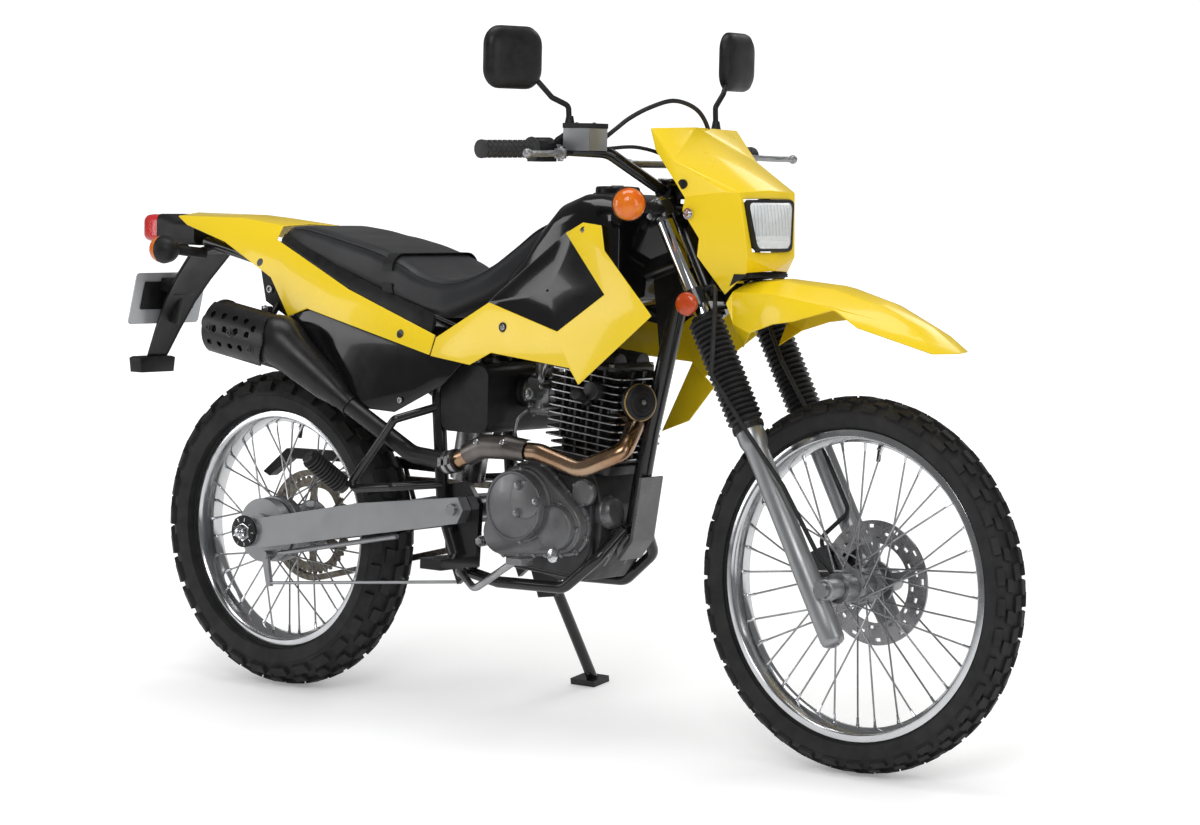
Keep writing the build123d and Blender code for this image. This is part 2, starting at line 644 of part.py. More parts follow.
FENDER_FACETS = [
    ("mid a", "mid b", "top b"),
    ("mid a", "top b", "top a"),
    ("mid b", "mid c", "top c"),
    ("mid b", "top c", "top b"),
    ("mid c", "mid d", "top d"),
    ("mid c", "top d", "top c"),
    ("mid d", "mid e", "top e"),
    ("mid d", "top e", "top d"),
    ("mid e", "tip", "top e"),
    ("top a", "top b", "rib b"),
    ("top a", "rib b", "rib a"),
    ("top b", "top c", "rib c"),
    ("top b", "rib c", "rib b"),
    ("top c", "top d", "rib d"),
    ("top c", "rib d", "rib c"),
    ("top d", "top e", "rib e"),
    ("top d", "rib e", "rib d"),
    ("top e", "tip", "rib e"),
    ("rib a", "edge b", "edge a"),
    ("rib a", "rib b", "edge b"),
    ("rib b", "edge c", "edge b"),
    ("rib b", "edge d", "edge c"),
    ("rib b", "edge e", "edge d"),
    ("rib b", "rib c", "edge e"),
    ("rib c", "edge f", "edge e"),
    ("rib c", "rib d", "edge f"),
    ("rib d", "edge g", "edge f"),
    ("rib d", "rib e", "edge g"),
    ("rib e", "edge h", "edge g"),
    ("rib e", "tip", "edge h"),
    ("edge b", "edge c", "skirt"),
]
fender = skin({name: raised(p) for name, p in FENDER_POINTS.items()}, FENDER_FACETS, PANEL)
fender_mount = block(raised((1098, -30, 820)), raised((1225, 30, 862)))
nodes["front_fender"] = fender + without(fender_mount, nodes["fork_yokes"], nodes["fork_gaiters"])

# Signals on stalks and reflectors, for both sides: centre of the left one
SIGNAL_AT = Vector(*raised((1024, 208, 999)))
SIGNAL_R = 31.0
SIGNAL_FOOT = steer(YOKE_HIGH[0] + 10, LEG_OFFSET + 15, LEG_Y)  # ahead of the clamp's middle, clear of the shroud
signal = Pos(*SIGNAL_AT) * scale(Sphere(SIGNAL_R), (1.1, 1.0, 1.0))
signal_stalk = rod(SIGNAL_AT, SIGNAL_FOOT, 11)
reflector_at = Vector(*raised((1103, 133, 823)))
reflector = rod(reflector_at + Vector(0, -9, 0), reflector_at, 22)
reflector_stalk = rod(reflector_at + Vector(0, -5, 0), steer(572, LEG_OFFSET, LEG_Y), 7)
front_signal = signal + signal_stalk + reflector + reflector_stalk
nodes["front_signals"] = without(both(front_signal), nodes["fork_yokes"], nodes["fork_tubes"], cowl)

# Hose and cable that turn with the fork: up the steering axis, ahead of it, y
HOSE_R = 4.0
HOSE_BEND = 16.0
BRAKE_HOSE = [(588, 44, 44), (580, 68, 44), (440, 62, 44), (330, 62, 62), (140, 62, 64), (122, -14, 60), (98, -16, 56)]
SPEEDO_CABLE = [
    (588, 56, -98),
    (586, 86, -98),
    (540, 88, -128),
    (430, 42, -150),
    (318, 52, -130),
    (200, 66, -106),
    (62, 66, -84),
    (22, 66, -60),
]
brake_hose = pipe([tuple(steer(*row)) for row in BRAKE_HOSE], HOSE_R, bend=HOSE_BEND)
speedo_cable = pipe([tuple(steer(*row)) for row in SPEEDO_CABLE], HOSE_R, bend=HOSE_BEND)
nodes["brake_hose"] = without(brake_hose, nodes["fork_yokes"], nodes["brake_caliper"], nodes["front_fender"])
nodes["speedometer_cable"] = without(speedo_cable, nodes["fork_yokes"], nodes["front_axle"])

# ---------- Frame ----------
head_tube = rod(steer(HEAD_LOW), steer(HEAD_HIGH), HEAD_R, STEM_R + RUNNING_FIT)
head_space = rod(steer(HEAD_LOW - 60), steer(HEAD_HIGH + 60), STEM_R + RUNNING_FIT)
BACKBONE = [tuple(steer(690, -4)), raised((900, 0, 868)), (700, 0, 786), (590, 0, 752)]
DOWNTUBE = [raised((1018, 0, 868)), raised((984, 0, 814)), (925, 0, 575), (905, 0, 470), (893, 0, 400)]
GUSSET = [(1015, 880), (925, 874), (950, 690), (972, 760), (990, 830)]
gusset = plate([(x, z + FRONT_RISE) for x, z in GUSSET], -4, 4)
backbone = pipe(BACKBONE, 20, bend=60)
downtube = pipe(DOWNTUBE, 17, bend=60)
frame_spine = head_tube + without(backbone + gusset, head_tube, head_space)
nodes["frame_spine"] = frame_spine
nodes["frame_downtube"] = without(downtube, frame_spine, head_space)

UPRIGHT = [(590, 22, 752), (540, 92, 735), (486, 100, 632), (507, 102, 400), (548, 100, 300)]
upright = pipe(UPRIGHT, 13, bend=34)
pivot_plate = plate([(500, 450), (560, 462), (592, 420), (586, 300), (540, 262), (508, 330)], 84, 96)
uprights = without(both(upright + pivot_plate), nodes["frame_spine"])
nodes["frame_uprights"] = uprights

CRADLE = [(893, 34, 392), (872, 86, 338), (800, 92, 280), (640, 92, 276), (556, 92, 290)]
cradle = pipe(CRADLE, 11, bend=36)
cross = rod((893, -38, 392), (893, 38, 392), 11)
guard = plate([(927, 492), (933, 492), (914, 372), (884, 334), (878, 338), (907, 374)], -32, 32)
nodes["frame_cradle"] = without(both(cradle) + cross, nodes["frame_downtube"], nodes["frame_uprights"])
STAND_PIVOT = Vector(606, 116, 250)
STAND_FOOT = Vector(592, 258, 48)
STAND_FOLDED = Vector(-0.992, 0.11, -0.06)  # the leg's direction when it is folded back
STAND_PIN_R = 7.0
stand_run = (STAND_FOOT - STAND_PIVOT).normalized()
STAND_AXIS = stand_run.cross(STAND_FOLDED).normalized()
STAND_FOLD_DEG = stand_run.get_angle(STAND_FOLDED)
stand_lug = plate([(568, 284), (644, 284), (632, 232), (590, 226)], 86, 98)
stand_pin = rod(STAND_PIVOT - STAND_AXIS * 26, STAND_PIVOT + STAND_AXIS * 11, STAND_PIN_R)
nodes["frame_cradle"] += without(stand_lug + stand_pin, nodes["frame_cradle"], nodes["frame_uprights"])
nodes["guard_plate"] = without(guard, nodes["frame_downtube"], nodes["frame_cradle"])

RAIL = [(548, 70, 735), (420, 74, 742), (60, 66, 842), (-200, 48, 892)]
STRUT = [(494, 88, 610), (20, 66, 846)]
rails = both(pipe(RAIL, SEAT_TUBE_R, bend=60) + rod(*STRUT, 9))
rail_end = rod((-192, -50, 890), (-192, 50, 890), SEAT_TUBE_R)
rail_mid = rod((300, -72, 775), (300, 72, 775), SEAT_TUBE_R)
nodes["seat_rails"] = without(rails + rail_end + rail_mid, nodes["frame_uprights"], nodes["frame_spine"])

# ---------- Swingarm, rear axle, brake ----------


def from_axle(x, z):
    """Point of the rear wheel's neighbours, in the side view."""
    return (REAR_AXLE[0] + x, REAR_AXLE[1] + z)


def from_pivot(x, z):
    return (PIVOT[0] + x, PIVOT[1] + z)


def between(a, b, lift=0.0):
    return ((a[0] + b[0]) / 2, (a[1] + b[1]) / 2 + lift)


ARM_HEEL = [from_axle(40, 31), from_axle(-34, 23), from_axle(-34, -23), from_axle(40, -29)]
ARM_NOSE = [from_pivot(11, -26), from_pivot(25, 0), from_pivot(11, 24)]
arm_under = between(ARM_HEEL[-1], ARM_NOSE[0])
arm_over = between(ARM_NOSE[-1], ARM_HEEL[0], 9)
ARM_OUTLINE = [*ARM_HEEL, arm_under, *ARM_NOSE, arm_over]
TYRE_ROOM = 77.0  # from the rear tyre to the swingarm's bridge
BRIDGE = (REAR_AXLE[0] + REAR_TYRE["radius"] + TYRE_ROOM, 28.0)  # x, length
arm_low, arm_high = ARM_Y - ARM_WIDTH / 2, ARM_Y + ARM_WIDTH / 2
arm = plate(ARM_OUTLINE, arm_low, arm_high)
pivot_tube = cross_rod(*PIVOT, -83, 83, 21)
arm_bridge = block((BRIDGE[0], -arm_low, 372), (BRIDGE[0] + BRIDGE[1], arm_low, 404))
pivot_bolt = cross_rod(*PIVOT, -arm_high - 8, arm_high + 8, 11)
swing = without(both(arm), both(cross_rod(*REAR_AXLE, 60, 160, AXLE_R)), pivot_bolt)
nodes["frame_uprights"] = without(nodes["frame_uprights"], pivot_bolt)
nodes["swingarm_arms"] = without(swing, nodes["frame_uprights"])
nodes["swingarm_pivot"] = without(pivot_bolt + arm_bridge + pivot_tube, nodes["swingarm_arms"], nodes["frame_uprights"])

axle_half = arm_high + 12
rear_bar = cross_rod(*REAR_AXLE, -axle_half, axle_half, AXLE_R)
rear_nuts = both(cross_rod(*REAR_AXLE, arm_high, axle_half, 15))
PANEL_Y = (-arm_low + 6, REAR_HUB["drum_low"] - BODY_GAP)  # brake panel's outer and inner faces
sprocket_end = CHAIN_Y + SPROCKET_THICK / 2 + 4 + BODY_GAP
left_collar = cross_rod(*REAR_AXLE, sprocket_end, arm_low, 15)
right_collar = cross_rod(*REAR_AXLE, -arm_low, PANEL_Y[0], 15)
snail = both(cross_rod(*from_axle(6, 0), arm_high, arm_high + 5, 30) - cross_rod(*REAR_AXLE, 100, 160, 15))
nodes["rear_axle"] = rear_bar + rear_nuts + left_collar + right_collar + without(snail, rear_nuts)

brake_panel = cross_rod(*REAR_AXLE, PANEL_Y[0] + 12, PANEL_Y[1], REAR_HUB["drum_r"] - 2)
brake_panel += cross_rod(*REAR_AXLE, PANEL_Y[0], PANEL_Y[1], 34)
CAM_ARM = [(14, -51), (30, -51), (40, -109), (28, -111)]
cam_arm = plate([from_axle(x, z) for x, z in CAM_ARM], PANEL_Y[0] - 2, PANEL_Y[0] + 6)
cam_pin = cross_rod(*from_axle(22, -47), PANEL_Y[0] - 4, PANEL_Y[0] + 14, 8)
cam_end, torque_end = from_axle(34, -103), from_axle(46, -43)
torque_foot = from_pivot(-169, -68)
brake_rod = rod((cam_end[0], PANEL_Y[0] + 2, cam_end[1]), (560, -88, 268), 3.2)
torque_rod = rod((torque_end[0], PANEL_Y[0] + 15, torque_end[1]), (torque_foot[0], -93, torque_foot[1]), 5)
brake_all = without(brake_panel, rear_bar) + cam_arm + cam_pin + brake_rod + torque_rod
brake_neighbours = [nodes[n] for n in ("swingarm_arms", "swingarm_pivot", "frame_uprights", "frame_cradle")]
nodes["rear_brake"] = without(brake_all, rear_bar, *brake_neighbours)

# ---------- Chain ----------
def chain_loop(grow):
    """Belt outline around both sprockets, in the side view."""
    (x1, z1), (x2, z2) = REAR_AXLE, DRIVE_SPROCKET
    r1 = SPROCKET_TIP_R + CHAIN_RUN_GAP + grow
    r2 = DRIVE_SPROCKET_R + CHAIN_RUN_GAP + grow
    span = math.hypot(x2 - x1, z2 - z1)
    heading = math.atan2(z2 - z1, x2 - x1)
    slope = math.asin((r1 - r2) / span)
    up, down = heading + math.pi / 2 - slope, heading - math.pi / 2 + slope

    def at(x, z, r, a):
        return (x + r * math.cos(a), z + r * math.sin(a))

    top1, top2 = at(x1, z1, r1, up), at(x2, z2, r2, up)
    low1, low2 = at(x1, z1, r1, down), at(x2, z2, r2, down)
    nose, tail = at(x2, z2, r2, heading), at(x1, z1, r1, heading + math.pi)
    plane = Plane(origin=(0, CHAIN_Y - CHAIN_WIDTH / 2, 0), x_dir=(1, 0, 0), z_dir=(0, -1, 0))
    edges = [Line(top1, top2), ThreePointArc(top2, nose, low2), Line(low2, low1), ThreePointArc(low1, tail, top1)]
    return extrude(plane * make_face(edges), -CHAIN_WIDTH)


nodes["chain"] = chain_loop(CHAIN_HEIGHT) - chain_loop(0)
drive = cross_rod(*DRIVE_SPROCKET, 40, CHAIN_Y + 12, DRIVE_SPROCKET_R + CHAIN_RUN_GAP)
GUARD_REAR = [(120, 157), (-70, 153), (-136, 101), (-118, 93), (-60, 133), (120, 137)]
GUARD_FRONT = [(-129, 44), (-119, 62)]
guard_outline = [from_axle(x, z) for x, z in GUARD_REAR] + [from_pivot(x, z) for x, z in GUARD_FRONT]
guard_side = plate(guard_outline, CHAIN_Y - 10, CHAIN_Y + 14)
hanger_x = REAR_AXLE[0] + 240
guard_hanger = rod((hanger_x, CHAIN_Y + 10, 460), (hanger_x, ARM_Y, 385), 5)
nodes["chain_guard"] = without(guard_side + guard_hanger, nodes["chain"], nodes["swingarm_arms"])

# ---------- Shock ----------
SHOCK = (Vector(470, 0, 415), Vector(520, 0, 700))
shock_run = (SHOCK[1] - SHOCK[0]).normalized()
spring = rod(SHOCK[0] + shock_run * 40, SHOCK[1] - shock_run * 50, 34)
shock = rod(SHOCK[0], SHOCK[1], 14) + spring
shock += cross_rod(470, 415, -24, 24, 14)
shock_mount = rod((535, -84, 708), (535, 84, 708), 12)
shock += rod(SHOCK[1], (535, 0, 708), 14)
nodes["rear_shock"] = without(
    shock + shock_mount, nodes["swingarm_pivot"], nodes["frame_uprights"], nodes["seat_rails"], nodes["frame_spine"]
)

# ---------- Engine ----------
CASE_OUTLINE = [(588, 470), (600, 360), (650, 296), (830, 288), (868, 340), (872, 440), (850, 500), (700, 512)]
cases = plate(CASE_OUTLINE, -88, 88)
cases = fillet(cases.edges().filter_by(Axis.Y), 14)
CLUTCH_AT = (716, 430)
clutch_cover = cross_rod(*CLUTCH_AT, -146, -88, 70) + cross_rod(802, 395, -134, -88, 48)
clutch_cover += cross_rod(654, 372, -122, -88, 40) + cross_rod(*CLUTCH_AT, -152, -146, 52)
stator_cover = cross_rod(790, 410, 88, 126, 64) + cross_rod(700, 400, 88, 106, 48)
filter_cover = rod((860, -40, 420), (884, -40, 424), 30)
filter_cover += cross_rod(842, 462, -112, -88, 30)
cases_all = cases + clutch_cover + stator_cover + filter_cover
tube_space = [nodes[n] for n in ("frame_downtube", "frame_cradle", "frame_uprights", "guard_plate")]
chain_space = cross_rod(*DRIVE_SPROCKET, CHAIN_Y - CHAIN_WIDTH / 2 - 4, 200, DRIVE_SPROCKET_R + CHAIN_HEIGHT + 6)
chain_slot = chain_loop(CHAIN_HEIGHT + 4)
front_mount = rod((850, 0, 345), (884, 0, 384), 16)
cases_all = without(cases_all + front_mount, chain_space, chain_slot, *tube_space, nodes["swingarm_pivot"])
drive_shaft = without(drive, cases_all)
rear_mount = cross_rod(597, 350, -90, 90, 14)
nodes["engine_cases"] = cases_all + without(drive_shaft + rear_mount, nodes["chain"], *tube_space)

CYLINDER_TILT = 6.0
FIN_COUNT = 12
FIN_PITCH = 14.0
FIN_THICK = 4.0
CYLINDER_BASE = (806.0, 505.0)
cylinder_plane = Plane(origin=(CYLINDER_BASE[0], 0, CYLINDER_BASE[1])).rotated((0, CYLINDER_TILT, 0))
cylinder = [cylinder_plane * Pos(0, 0, 95) * Box(122, 104, 200)]
for i in range(FIN_COUNT):
    narrow = 0.9 if i < 2 else 1.0
    fin = RectangleRounded(172 * narrow, 152 * narrow, 16)
    cylinder.append(extrude(cylinder_plane * Pos(0, 0, 22 + i * FIN_PITCH) * fin, FIN_THICK))
cylinder.append(cylinder_plane * Pos(-4, 0, 190) * Box(110, 120, 24))
cylinder = without(Part() + cylinder, nodes["engine_cases"], nodes["frame_downtube"])
nodes["engine_cylinder"] = cylinder

carb = block((646, -34, 596), (712, 34, 676)) + cross_rod(670, 636, -58, 34, 20)
intake = rod((700, 0, 634), (760, 0, 634), 22)
airbox_duct = rod((600, 0, 634), (660, 0, 634), 28)
nodes["carburettor"] = without(carb + intake + airbox_duct, nodes["engine_cylinder"], nodes["engine_cases"])
airbox = fillet(block((504, -112, 556), (622, 112, 684)).edges().filter_by(Axis.Y), 22)
shock_space = rod(SHOCK[0], SHOCK[1] + shock_run * 40, 44)
airbox = without(airbox, nodes["carburettor"], nodes["frame_uprights"], shock_space, nodes["rear_shock"])
nodes["airbox"] = without(airbox, nodes["frame_spine"], nodes["seat_rails"])

# ---------- Exhaust ----------
HEADER = [(866, -22, 606), (925, -40, 596), (940, -96, 545), (868, -132, 508), (774, -138, 534), (640, -140, 534)]
HEADER += [(560, -138, 500), (462, -142, 508), (303, -150, 592)]
header = pipe(HEADER, 17, bend=[26, 26, 40, 60, 60, 60, 60])
nodes["exhaust_header"] = without(
    header, nodes["engine_cylinder"], nodes["frame_downtube"], nodes["engine_cases"], nodes["airbox"]
)
MUFFLER_END = Vector(-52, -187, 739)
MUFFLER_MID = Vector(150, -184, 706)
MUFFLER_NECK = Vector(303, -150, 592)
muffler_can = rod(MUFFLER_END, MUFFLER_MID, 53)
cone_run = (MUFFLER_NECK - MUFFLER_MID).normalized()
cone_length = (MUFFLER_NECK - MUFFLER_MID).length
cone = turned([(0, 0), (0, 52), (cone_length, 19), (cone_length, 0)], MUFFLER_MID, cone_run)
MUFFLER_AXIS = (MUFFLER_MID - MUFFLER_END).normalized()
OUTLET_R = 14.0
OUTLET_LENGTH = 30.0
outlet_start = MUFFLER_END - MUFFLER_AXIS * 12
outlet = rod(outlet_start, MUFFLER_END + MUFFLER_AXIS * 2, OUTLET_R + 3)
outlet_hole = rod(outlet_start, outlet_start + MUFFLER_AXIS * OUTLET_LENGTH, OUTLET_R)
hanger = rod((70, -130, 760), (60, -66, 822), 8)
SHIELD_R = 58.0
SHIELD_THICK = 2.0
SHIELD_SPAN = (16.0, 212.0)  # along the can from its end
SHIELD_HOLES = [(-20, 7, 34, 24), (20, 6, 46, 24)]  # degrees round, count, first, pitch
shield_at = [MUFFLER_END + MUFFLER_AXIS * d for d in SHIELD_SPAN]
shield = rod(*shield_at, SHIELD_R, SHIELD_R - SHIELD_THICK) & block((-150, -400, 500), (320, -209, 950))
can_side = MUFFLER_AXIS.cross(Vector(0, 0, 1)).normalized()
can_side = can_side if can_side.Y < 0 else -can_side
can_up = MUFFLER_AXIS.cross(can_side).normalized()
for turn, count, first, pitch in SHIELD_HOLES:
    out = can_side * math.cos(math.radians(turn)) + can_up * math.sin(math.radians(turn))
    for i in range(count):
        foot = MUFFLER_END + MUFFLER_AXIS * (first + pitch * i)
        shield -= rod(foot + out * (SHIELD_R - 8), foot + out * (SHIELD_R + 8), 6)
for distance in SHIELD_SPAN:
    foot = MUFFLER_END + MUFFLER_AXIS * (distance + (14 if distance < 100 else -14))
    shield += rod(foot + can_side * 50, foot + can_side * (SHIELD_R - 1), 7)
muffler = muffler_can + Pos(*MUFFLER_MID) * Sphere(52) + cone + outlet - outlet_hole + hanger + shield
nodes["muffler"] = without(muffler, nodes["exhaust_header"], nodes["seat_rails"])

# ---------- Tank, shrouds, seat, covers ----------
# x, z low, z high, half width, corner radius
TANK_STATIONS = [
    (622, 796, 838, 84, 18),
    (700, 800, 902, 108, 34),
    (770, 800, 985, 118, 40),
    (830, 802, 1012, 120, 44),
    (888, 806, 1008, 112, 44),
    (916, 820, 985, 96, 40),
]
tank = loft_blocks(TANK_STATIONS)
CAP_AT = (834, 0, 1006)
cap = rod(CAP_AT, (834, 0, 1021), 44)
nodes["fuel_tank"] = without(tank, nodes["frame_spine"], nodes["frame_uprights"]) + without(cap, tank)

SHROUD_POINTS = {
    "ear back": (819, 131, 941),
    "ear top": (862, 134, 962),
    "ear front": (910, 140, 958),
    "brow": (938, 165, 913),
    "tip": (1081, 205, 802),
    "low front": (905, 190, 669),
    "low back": (878, 184, 697),
    "belly": (661, 152, 713),
    "heel": (604, 147, 687),
    "toe": (497, 138, 698),
    "notch": (511, 138, 734),
    "edge": (647, 136, 814),
    "crease": (842, 178, 762),
}
SHROUD_FACETS = [
    ("ear back", "crease", "ear top"),
    ("ear top", "brow", "ear front"),
    ("ear top", "crease", "brow"),
    ("brow", "crease", "tip"),
    ("tip", "crease", "low front"),
    ("low front", "crease", "low back"),
    ("low back", "crease", "belly"),
    ("crease", "edge", "belly"),
    ("crease", "ear back", "edge"),
    ("belly", "edge", "heel"),
    ("heel", "edge", "notch"),
    ("heel", "notch", "toe"),
]
LOWER_WING = {
    "low front": (905, 190, 669),
    "low back": (878, 184, 697),
    "wing front": (926, 192, 652),
    "wing tip": (872, 186, 584),
    "wing back": (812, 178, 560),
}
WING_FACETS = [
    ("low back", "low front", "wing front"),
    ("low back", "wing front", "wing tip"),
    ("low back", "wing tip", "wing back"),
]
left_shroud = skin(SHROUD_POINTS, [f[::-1] for f in SHROUD_FACETS], PANEL, mirrored=False)
right_shroud = mirror(left_shroud, Plane.XZ)
left_wing = skin(LOWER_WING, WING_FACETS, PANEL, mirrored=False)
boss_front = nearest(without(rod((862, 90, 930), (862, 150, 930), 9), left_shroud), (862, 90, 930))
boss_rear = nearest(without(rod((700, 90, 830), (700, 160, 822), 9), left_shroud), (700, 90, 830))
nodes["tank_shrouds"] = left_shroud + right_shroud + without(left_wing, left_shroud)
nodes["fuel_tank"] += both(boss_front + boss_rear)

SEAT_STATIONS = [
    (52, 908, 926, 76, 8),
    (110, 884, 932, 96, 20),
    (240, 842, 914, 116, 28),
    (390, 796, 880, 124, 30),
    (424, 786, 846, 126, 24),
    (500, 766, 842, 126, 28),
    (600, 800, 872, 112, 30),
    (704, 866, 956, 84, 30),
    (762, 925, 966, 56, 16),
]
seat = loft_blocks(SEAT_STATIONS)

TAIL_POINTS = {
    "tip": (-274, 58, 943),
    "tip mid": (-276, 0, 950),
    "top a": (-76, 70, 944),
    "top a mid": (-76, 0, 950),
    "top b": (50, 82, 932),
    "top b mid": (44, 0, 936),
    "rim": (50, 100, 905),
    "rim b": (275, 129, 815),
    "rim c": (494, 137, 742),
    "low a": (484, 142, 704),
    "low b": (179, 145, 774),
    "low c": (125, 142, 756),
    "low d": (60, 126, 830),
    "low e": (-93, 104, 896),
    "low f": (-235, 72, 926),
}
TAIL_FACETS = [
    ("tip mid", "top a mid", "top a"),
    ("tip mid", "top a", "tip"),
    ("top a mid", "top b mid", "top b"),
    ("top a mid", "top b", "top a"),
    ("tip", "top a", "low f"),
    ("top a", "low e", "low f"),
    ("top a", "top b", "low e"),
    ("top b", "rim", "low e"),
    ("rim", "low d", "low e"),
    ("rim", "low c", "low d"),
    ("rim", "low b", "low c"),
    ("rim", "rim b", "low b"),
    ("rim b", "low a", "low b"),
    ("rim b", "rim c", "low a"),
]
tail = skin(TAIL_POINTS, [f[::-1] for f in TAIL_FACETS], PANEL)

COVER_POINTS = {
    "a": (130, 141, 754),
    "b": (180, 141, 770),
    "c": (480, 138, 702),
    "d": (504, 144, 629),
    "e": (428, 148, 591),
    "f": (310, 148, 592),
}
COVER_FACETS = [("a", "b", "f"), ("b", "c", "f"), ("c", "e", "f"), ("c", "d", "e")]
side_cover = skin(COVER_POINTS, COVER_FACETS, PANEL, mirrored=False)
side_covers = both(side_cover)
nodes["seat"] = without(
    seat, nodes["fuel_tank"], nodes["seat_rails"], nodes["frame_spine"], tail, nodes["frame_uprights"], nodes["tank_shrouds"]
)
nodes["tail_cover"] = tail
nodes["side_covers"] = without(side_covers, nodes["tail_cover"], nodes["muffler"], nodes["exhaust_header"])
# Bosses on the rails that carry the covers: foot, tip
COVER_BOSSES = [((20, 60, 852), (20, 130, 860)), ((420, 70, 745), (420, 150, 735)), ((470, 90, 640), (450, 160, 640))]
bosses = Part()
for boss_foot, boss_tip in COVER_BOSSES:
    cut = without(rod(boss_foot, boss_tip, 8), tail, side_cover)
    bosses += nearest(cut, boss_foot)
boss_neighbours = [nodes[n] for n in ("frame_uprights", "seat", "muffler", "airbox")]
nodes["seat_rails"] += without(both(bosses), nodes["seat_rails"], *boss_neighbours)

# ---------- Rear mudguard, lamps, plate ----------
guard_top = Plane(origin=(-160, 0, 894)) * Rectangle(170, 116)
guard_low = Plane(origin=(-397, 0, 645)) * Rectangle(18, 54)
mudguard = loft([guard_top, guard_low], ruled=True)
housing = block((-338, -46, 886), (-238, 46, 940))
foot = block((-428, -46, 612), (-384, 46, 645))
nodes["rear_mudguard"] = without(mudguard + housing, nodes["tail_cover"], nodes["seat_rails"]) + without(foot, mudguard)
nodes["tail_lamp"] = block((-404, -42, 884), (-338, 42, 946))
REAR_SIGNAL_AT = Vector(-226, 140, 876)
rear_signal = Pos(*REAR_SIGNAL_AT) * Sphere(30)
rear_stalk = rod(REAR_SIGNAL_AT, (-200, 50, 868), 10)
nodes["rear_signals"] = without(both(rear_signal + rear_stalk), nodes["rear_mudguard"], nodes["tail_cover"])

PLATE_LOW = Vector(-377, 0, 716)
PLATE_TILT = 14.0
PLATE_SIZE = (2.0, 200.0, 110.0)
BOLT_HOLE_R = 3.5
BOLT_HALF = 70.0
plate_plane = Plane(origin=PLATE_LOW).rotated((0, PLATE_TILT, 0))
number_plate = plate_plane * Pos(0, 0, PLATE_SIZE[2] / 2) * Box(*PLATE_SIZE)
plate_holes = []
for side in (-1, 1):
    centre = plate_plane.from_local_coords(Vector(0, side * BOLT_HALF, 90))
    plate_holes.append((centre, plate_plane.x_dir))
    number_plate = number_plate - rod(centre - plate_plane.x_dir * 6, centre + plate_plane.x_dir * 6, BOLT_HOLE_R)
nodes["number_plate"] = number_plate
bracket = plate_plane * Pos(24, 0, 88) * Box(46, 60, 30)
nodes["rear_mudguard"] += without(bracket, nodes["rear_mudguard"], number_plate)

# ---------- Pegs and foot controls ----------
peg = block((566, 124, 306), (618, 232, 326))
peg_arm = rod((574, 98, 300), (590, 130, 314), 10)
REAR_PEG = [(506, 106, 452), (440, 174, 446), (326, 178, 434), (440, 172, 575), (492, 104, 600)]
peg_frame = pipe(REAR_PEG, 8, bend=10)
rear_peg = rod((326, 184, 436), (296, 258, 500), 14)
foot_pieces = both(peg + peg_arm + peg_frame + rear_peg)
keep = [nodes[n] for n in ("frame_uprights", "frame_cradle", "swingarm_arms", "exhaust_header", "side_covers", "engine_cases")]
nodes["foot_pegs"] = without(foot_pieces, *keep, nodes["muffler"])

BRAKE_PEDAL = [(560, -112, 290), (640, -160, 268), (742, -166, 330)]
pedal = pipe(BRAKE_PEDAL, 7, bend=30) + block((738, -186, 326), (776, -152, 338))
GEAR_LEVER = [(640, 112, 340), (650, 150, 338), (730, 156, 322)]
gear = pipe(GEAR_LEVER, 6, bend=14) + cross_rod(732, 322, 150, 190, 9)
pedal_pivot = rod((560, -96, 290), (560, -112, 290), 11)
gear_shaft = rod((640, 86, 340), (640, 114, 340), 8)
foot_controls = pedal + pedal_pivot + gear + gear_shaft
nodes["foot_controls"] = without(foot_controls, *keep, nodes["foot_pegs"], nodes["rear_brake"])

HORN_AT = Vector(938, -62, 634)
horn = rod(HORN_AT, HORN_AT + Vector(14, -22, 0), 35)
horn_stay = rod(HORN_AT, (941, -4, 640), 6)
nodes["horn"] = without(horn + horn_stay, nodes["frame_downtube"], nodes["exhaust_header"], nodes["engine_cylinder"])

# ---------- Side stand ----------
def lean(point):
    """Upright coordinates to leaning coordinates, before the shift to the origin."""
    y = point.Y * math.cos(LEAN) + point.Z * math.sin(LEAN)
    z = -point.Y * math.sin(LEAN) + point.Z * math.cos(LEAN) + LIFT
    return Vector(point.X, y, z)


# A leaning tyre rolls out on its round crown, so its axle stays this much higher than by turning alone
LIFT = (FRONT_TYRE["crown"] + REAR_TYRE["crown"]) / 2 * (1 - math.cos(LEAN))
stand_bore = rod(STAND_PIVOT - STAND_AXIS * 30, STAND_PIVOT + STAND_AXIS * 30, STAND_PIN_R + RUNNING_FIT)
stand_leg = rod(STAND_PIVOT, STAND_FOOT, 11)
to_upright = Rotation(LEAN_DEG, 0, 0)
foot_y = STAND_FOOT.Y * math.cos(LEAN) + STAND_FOOT.Z * math.sin(LEAN)
foot_pad = to_upright * Pos(0, 0, -LIFT) * block((STAND_FOOT.X - 38, foot_y - 24, 0), (STAND_FOOT.X + 22, foot_y + 24, 12))
stand_eye = rod(STAND_PIVOT - STAND_AXIS * 8, STAND_PIVOT + STAND_AXIS * 8, 15)
nodes["side_stand"] = stand_leg + foot_pad + stand_eye - stand_bore

# ---------- Placing and export ----------
CRUMB = 600.0  # a cut's loose bits up to this volume are dropped
for name, shape in nodes.items():
    nodes[name] = Part() + [solid for solid in shape.solids() if solid.volume > CRUMB]
leaning = {name: Pos(0, 0, LIFT) * Rotation(-LEAN_DEG, 0, 0) * shape for name, shape in nodes.items()}
boxes = [shape.bounding_box() for shape in leaning.values()]
low = [min(getattr(box.min, axis) for box in boxes) for axis in "XYZ"]
high = [max(getattr(box.max, axis) for box in boxes) for axis in "XYZ"]
SHIFT = Vector(-(low[0] + high[0]) / 2, -(low[1] + high[1]) / 2, -low[2])


